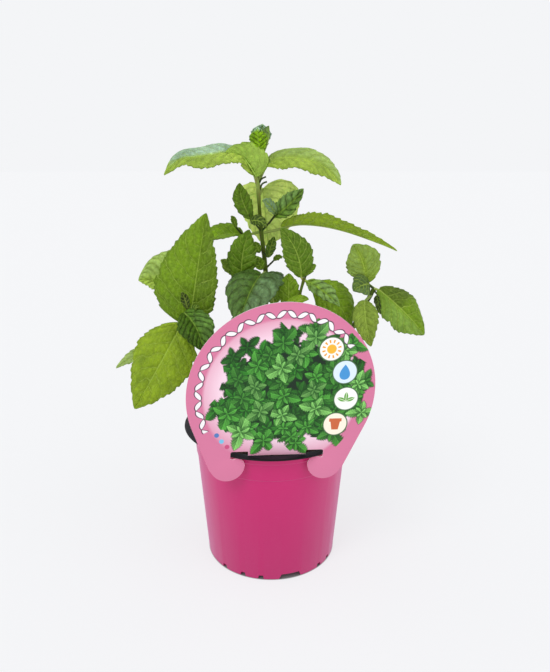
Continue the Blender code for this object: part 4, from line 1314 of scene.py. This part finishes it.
def arc(middle, radius, start, end, steps):
    """Points along an arc, from one angle to another in degrees."""
    turns = [radians(start + (end - start) * step / steps) for step in range(steps + 1)]
    return [(middle[0] + radius * cos(turned), middle[1] + radius * sin(turned)) for turned in turns]


def tag_half():
    """The right half of the tag's outline, from the top of the disc round the lobe and the slot's end to the
    tongue's edge, measured from the tongue's middle line and the flange's top."""
    lobe_middle = (LOBE_BOTTOM[0], LOBE_BOTTOM[1] + LOBE_RADIUS)
    points = arc((0, TAG_DISC_RISE), TAG_DISC_RADIUS, 90, -22, 66)
    points.append(TAG_SIDE)
    points += arc(lobe_middle, LOBE_RADIUS, -28, -180, 30)
    points += arc((LOBE_TOP[0] + 0.6, LOBE_TOP[1] - LOBE_CORNER + 0.4), LOBE_CORNER, 165, 60, 12)
    points += [(SLOT_END, -1.4), (SLOT_END, SLOT_TOP - 1), (SLOT_END - 0.3, SLOT_TOP - 0.3)]
    points += [(SLOT_END - 1, SLOT_TOP), (TAG_TONGUE + 0.4, SLOT_TOP), (TAG_TONGUE, SLOT_TOP - 0.4)]
    points.append((TAG_TONGUE, GAP))
    return points


def build_tag():
    """A flat outline, extruded to the plate's thickness, with its edges eased, stood up on the flange. Its
    front face takes the print."""
    right = tag_half()
    left = [(-x, z) for x, z in reversed(right) if x > 1e-6]
    shape = bmesh.new()
    corners = [shape.verts.new(((x + TAG_LEAN * z) * MM, 0, (z + POT_HEIGHT) * MM)) for x, z in right + left]
    front = shape.faces.new(corners)
    grown = bmesh.ops.extrude_face_region(shape, geom=[front])["geom"]
    bmesh.ops.translate(shape, verts=[part for part in grown if isinstance(part, bmesh.types.BMVert)],
                        vec=(0, TAG_THICK * MM, 0))
    turn_outwards(shape)
    rims = [edge for edge in shape.edges if abs(edge.calc_face_angle(0)) > radians(60)
            and abs(edge.verts[0].co.y - edge.verts[1].co.y) < 1e-7]
    bmesh.ops.bevel(shape, geom=rims, offset=TAG_ROUNDING * MM, offset_type="OFFSET", segments=2, profile=0.5,
                    affect="EDGES", clamp_overlap=True, material=-1)
    chart = shape.loops.layers.uv.new("print")
    shape.normal_update()
    for face in shape.faces:
        face.material_index = 0 if face.normal.y < -0.9 else 1
        for loop in face.loops:
            x, _, z = loop.vert.co / MM
            rise = z - POT_HEIGHT
            loop[chart].uv = (x - TAG_LEAN * rise, rise - TAG_DISC_RISE)
    bmesh.ops.triangulate(shape, faces=shape.faces)
    turn = Matrix.Rotation(radians(TAG_TURN), 3, "Z")
    bmesh.ops.rotate(shape, verts=shape.verts, cent=(0, 0, 0), matrix=turn)
    x, y = around(TAG_BACK + TAG_THICK, TAG_TURN)
    bmesh.ops.translate(shape, verts=shape.verts, vec=Vector((x, y, 0)) * MM)
    mesh = smooth_shaded(to_mesh(shape, "plant_tag"), 35)
    core = plain_plastic("tag_white_core", srgb(240, 238, 238), 0.4)
    add_piece("plant_tag", mesh, [tag_finish(), core], "tag_plastic", "tag")


def build_floor():
    """A floor that glows nearly as bright as the backdrop, to meet it unseen, with a painted shadow under the
    pot, where it hardly glows.
    """
    shape = bmesh.new()
    bmesh.ops.create_circle(shape, cap_ends=True, segments=96, radius=FLOOR_RADIUS)
    mesh = to_mesh(shape, "floor")
    paint = Finish("studio_floor", {"Roughness": 0.9, "Specular IOR Level": 0.0})
    place = paint.place()
    lighter = tuple(part * 1.01 for part in FLOOR_COLOUR)
    # Painted shadow: the floor hardly glows under the pot's foot, so its notches look dark inside.
    glow = paint.between(paint.length(place), (FOOT_RADIUS - 0.5) * MM, (FOOT_RADIUS + 0.4) * MM,
                         SHADOWED_GLOW_UNDER_POT, FLOOR_GLOW)
    paint.set(Base_Color=paint.mix(paint.noise(place, 3.0, 2.0), FLOOR_COLOUR, lighter))
    paint.set(Emission_Color=BACKDROP, Emission_Strength=glow)
    mesh.materials.append(paint.material)
    placed("floor", mesh)


def build_light():
    """Two soft suns and a pale sky, brighter at both sides. The camera sees a plain backdrop instead."""
    for name, lean, turn, strength, softness in SUNS:
        lamp = bpy.data.lights.new(name, "SUN")
        lamp.energy = strength
        lamp.angle = radians(softness)
        placed(name, lamp).rotation_euler = (radians(lean), 0, radians(turn))
    world = bpy.data.worlds.new("surround")
    sky = Graph(world)
    sky.tree.nodes.remove(sky.tree.nodes["Background"])
    x, _, _ = sky.split(sky.node("TexCoord", {}, "Generated"))
    strength = sky.between(abs(x), 0.0, 1.0, *SKY_STRENGTHS)
    lit = sky.node("Background", {"Color": SKY_LIGHT, "Strength": strength})
    seen = sky.node("Background", {"Color": BACKDROP})
    shown = sky.node("MixShader", {0: sky.node("LightPath", {}, "Is Camera Ray"), 1: lit, 2: seen})
    sky.feed(sky.tree.nodes["World Output"].inputs["Surface"], shown)
    bpy.context.scene.world = world
    bpy.context.scene.view_settings.view_transform = "Standard"


def build_camera():
    camera = bpy.data.cameras.new("camera")
    camera.sensor_width = SENSOR_WIDTH
    camera.lens = FOCAL_PIXELS * SENSOR_WIDTH / IMAGE_HEIGHT
    camera.shift_x = SHIFT_PIXELS[0] / IMAGE_HEIGHT
    camera.shift_y = SHIFT_PIXELS[1] / IMAGE_HEIGHT
    eye = placed("camera", camera)
    eye.location = Vector(CAMERA_PLACE) * MM
    eye.rotation_euler = (radians(90 - CAMERA_PITCH), 0, 0)
    bpy.context.scene.camera = eye


build_camera()
build_plant()
build_pot()
build_peat()
build_tag()
build_floor()
build_light()
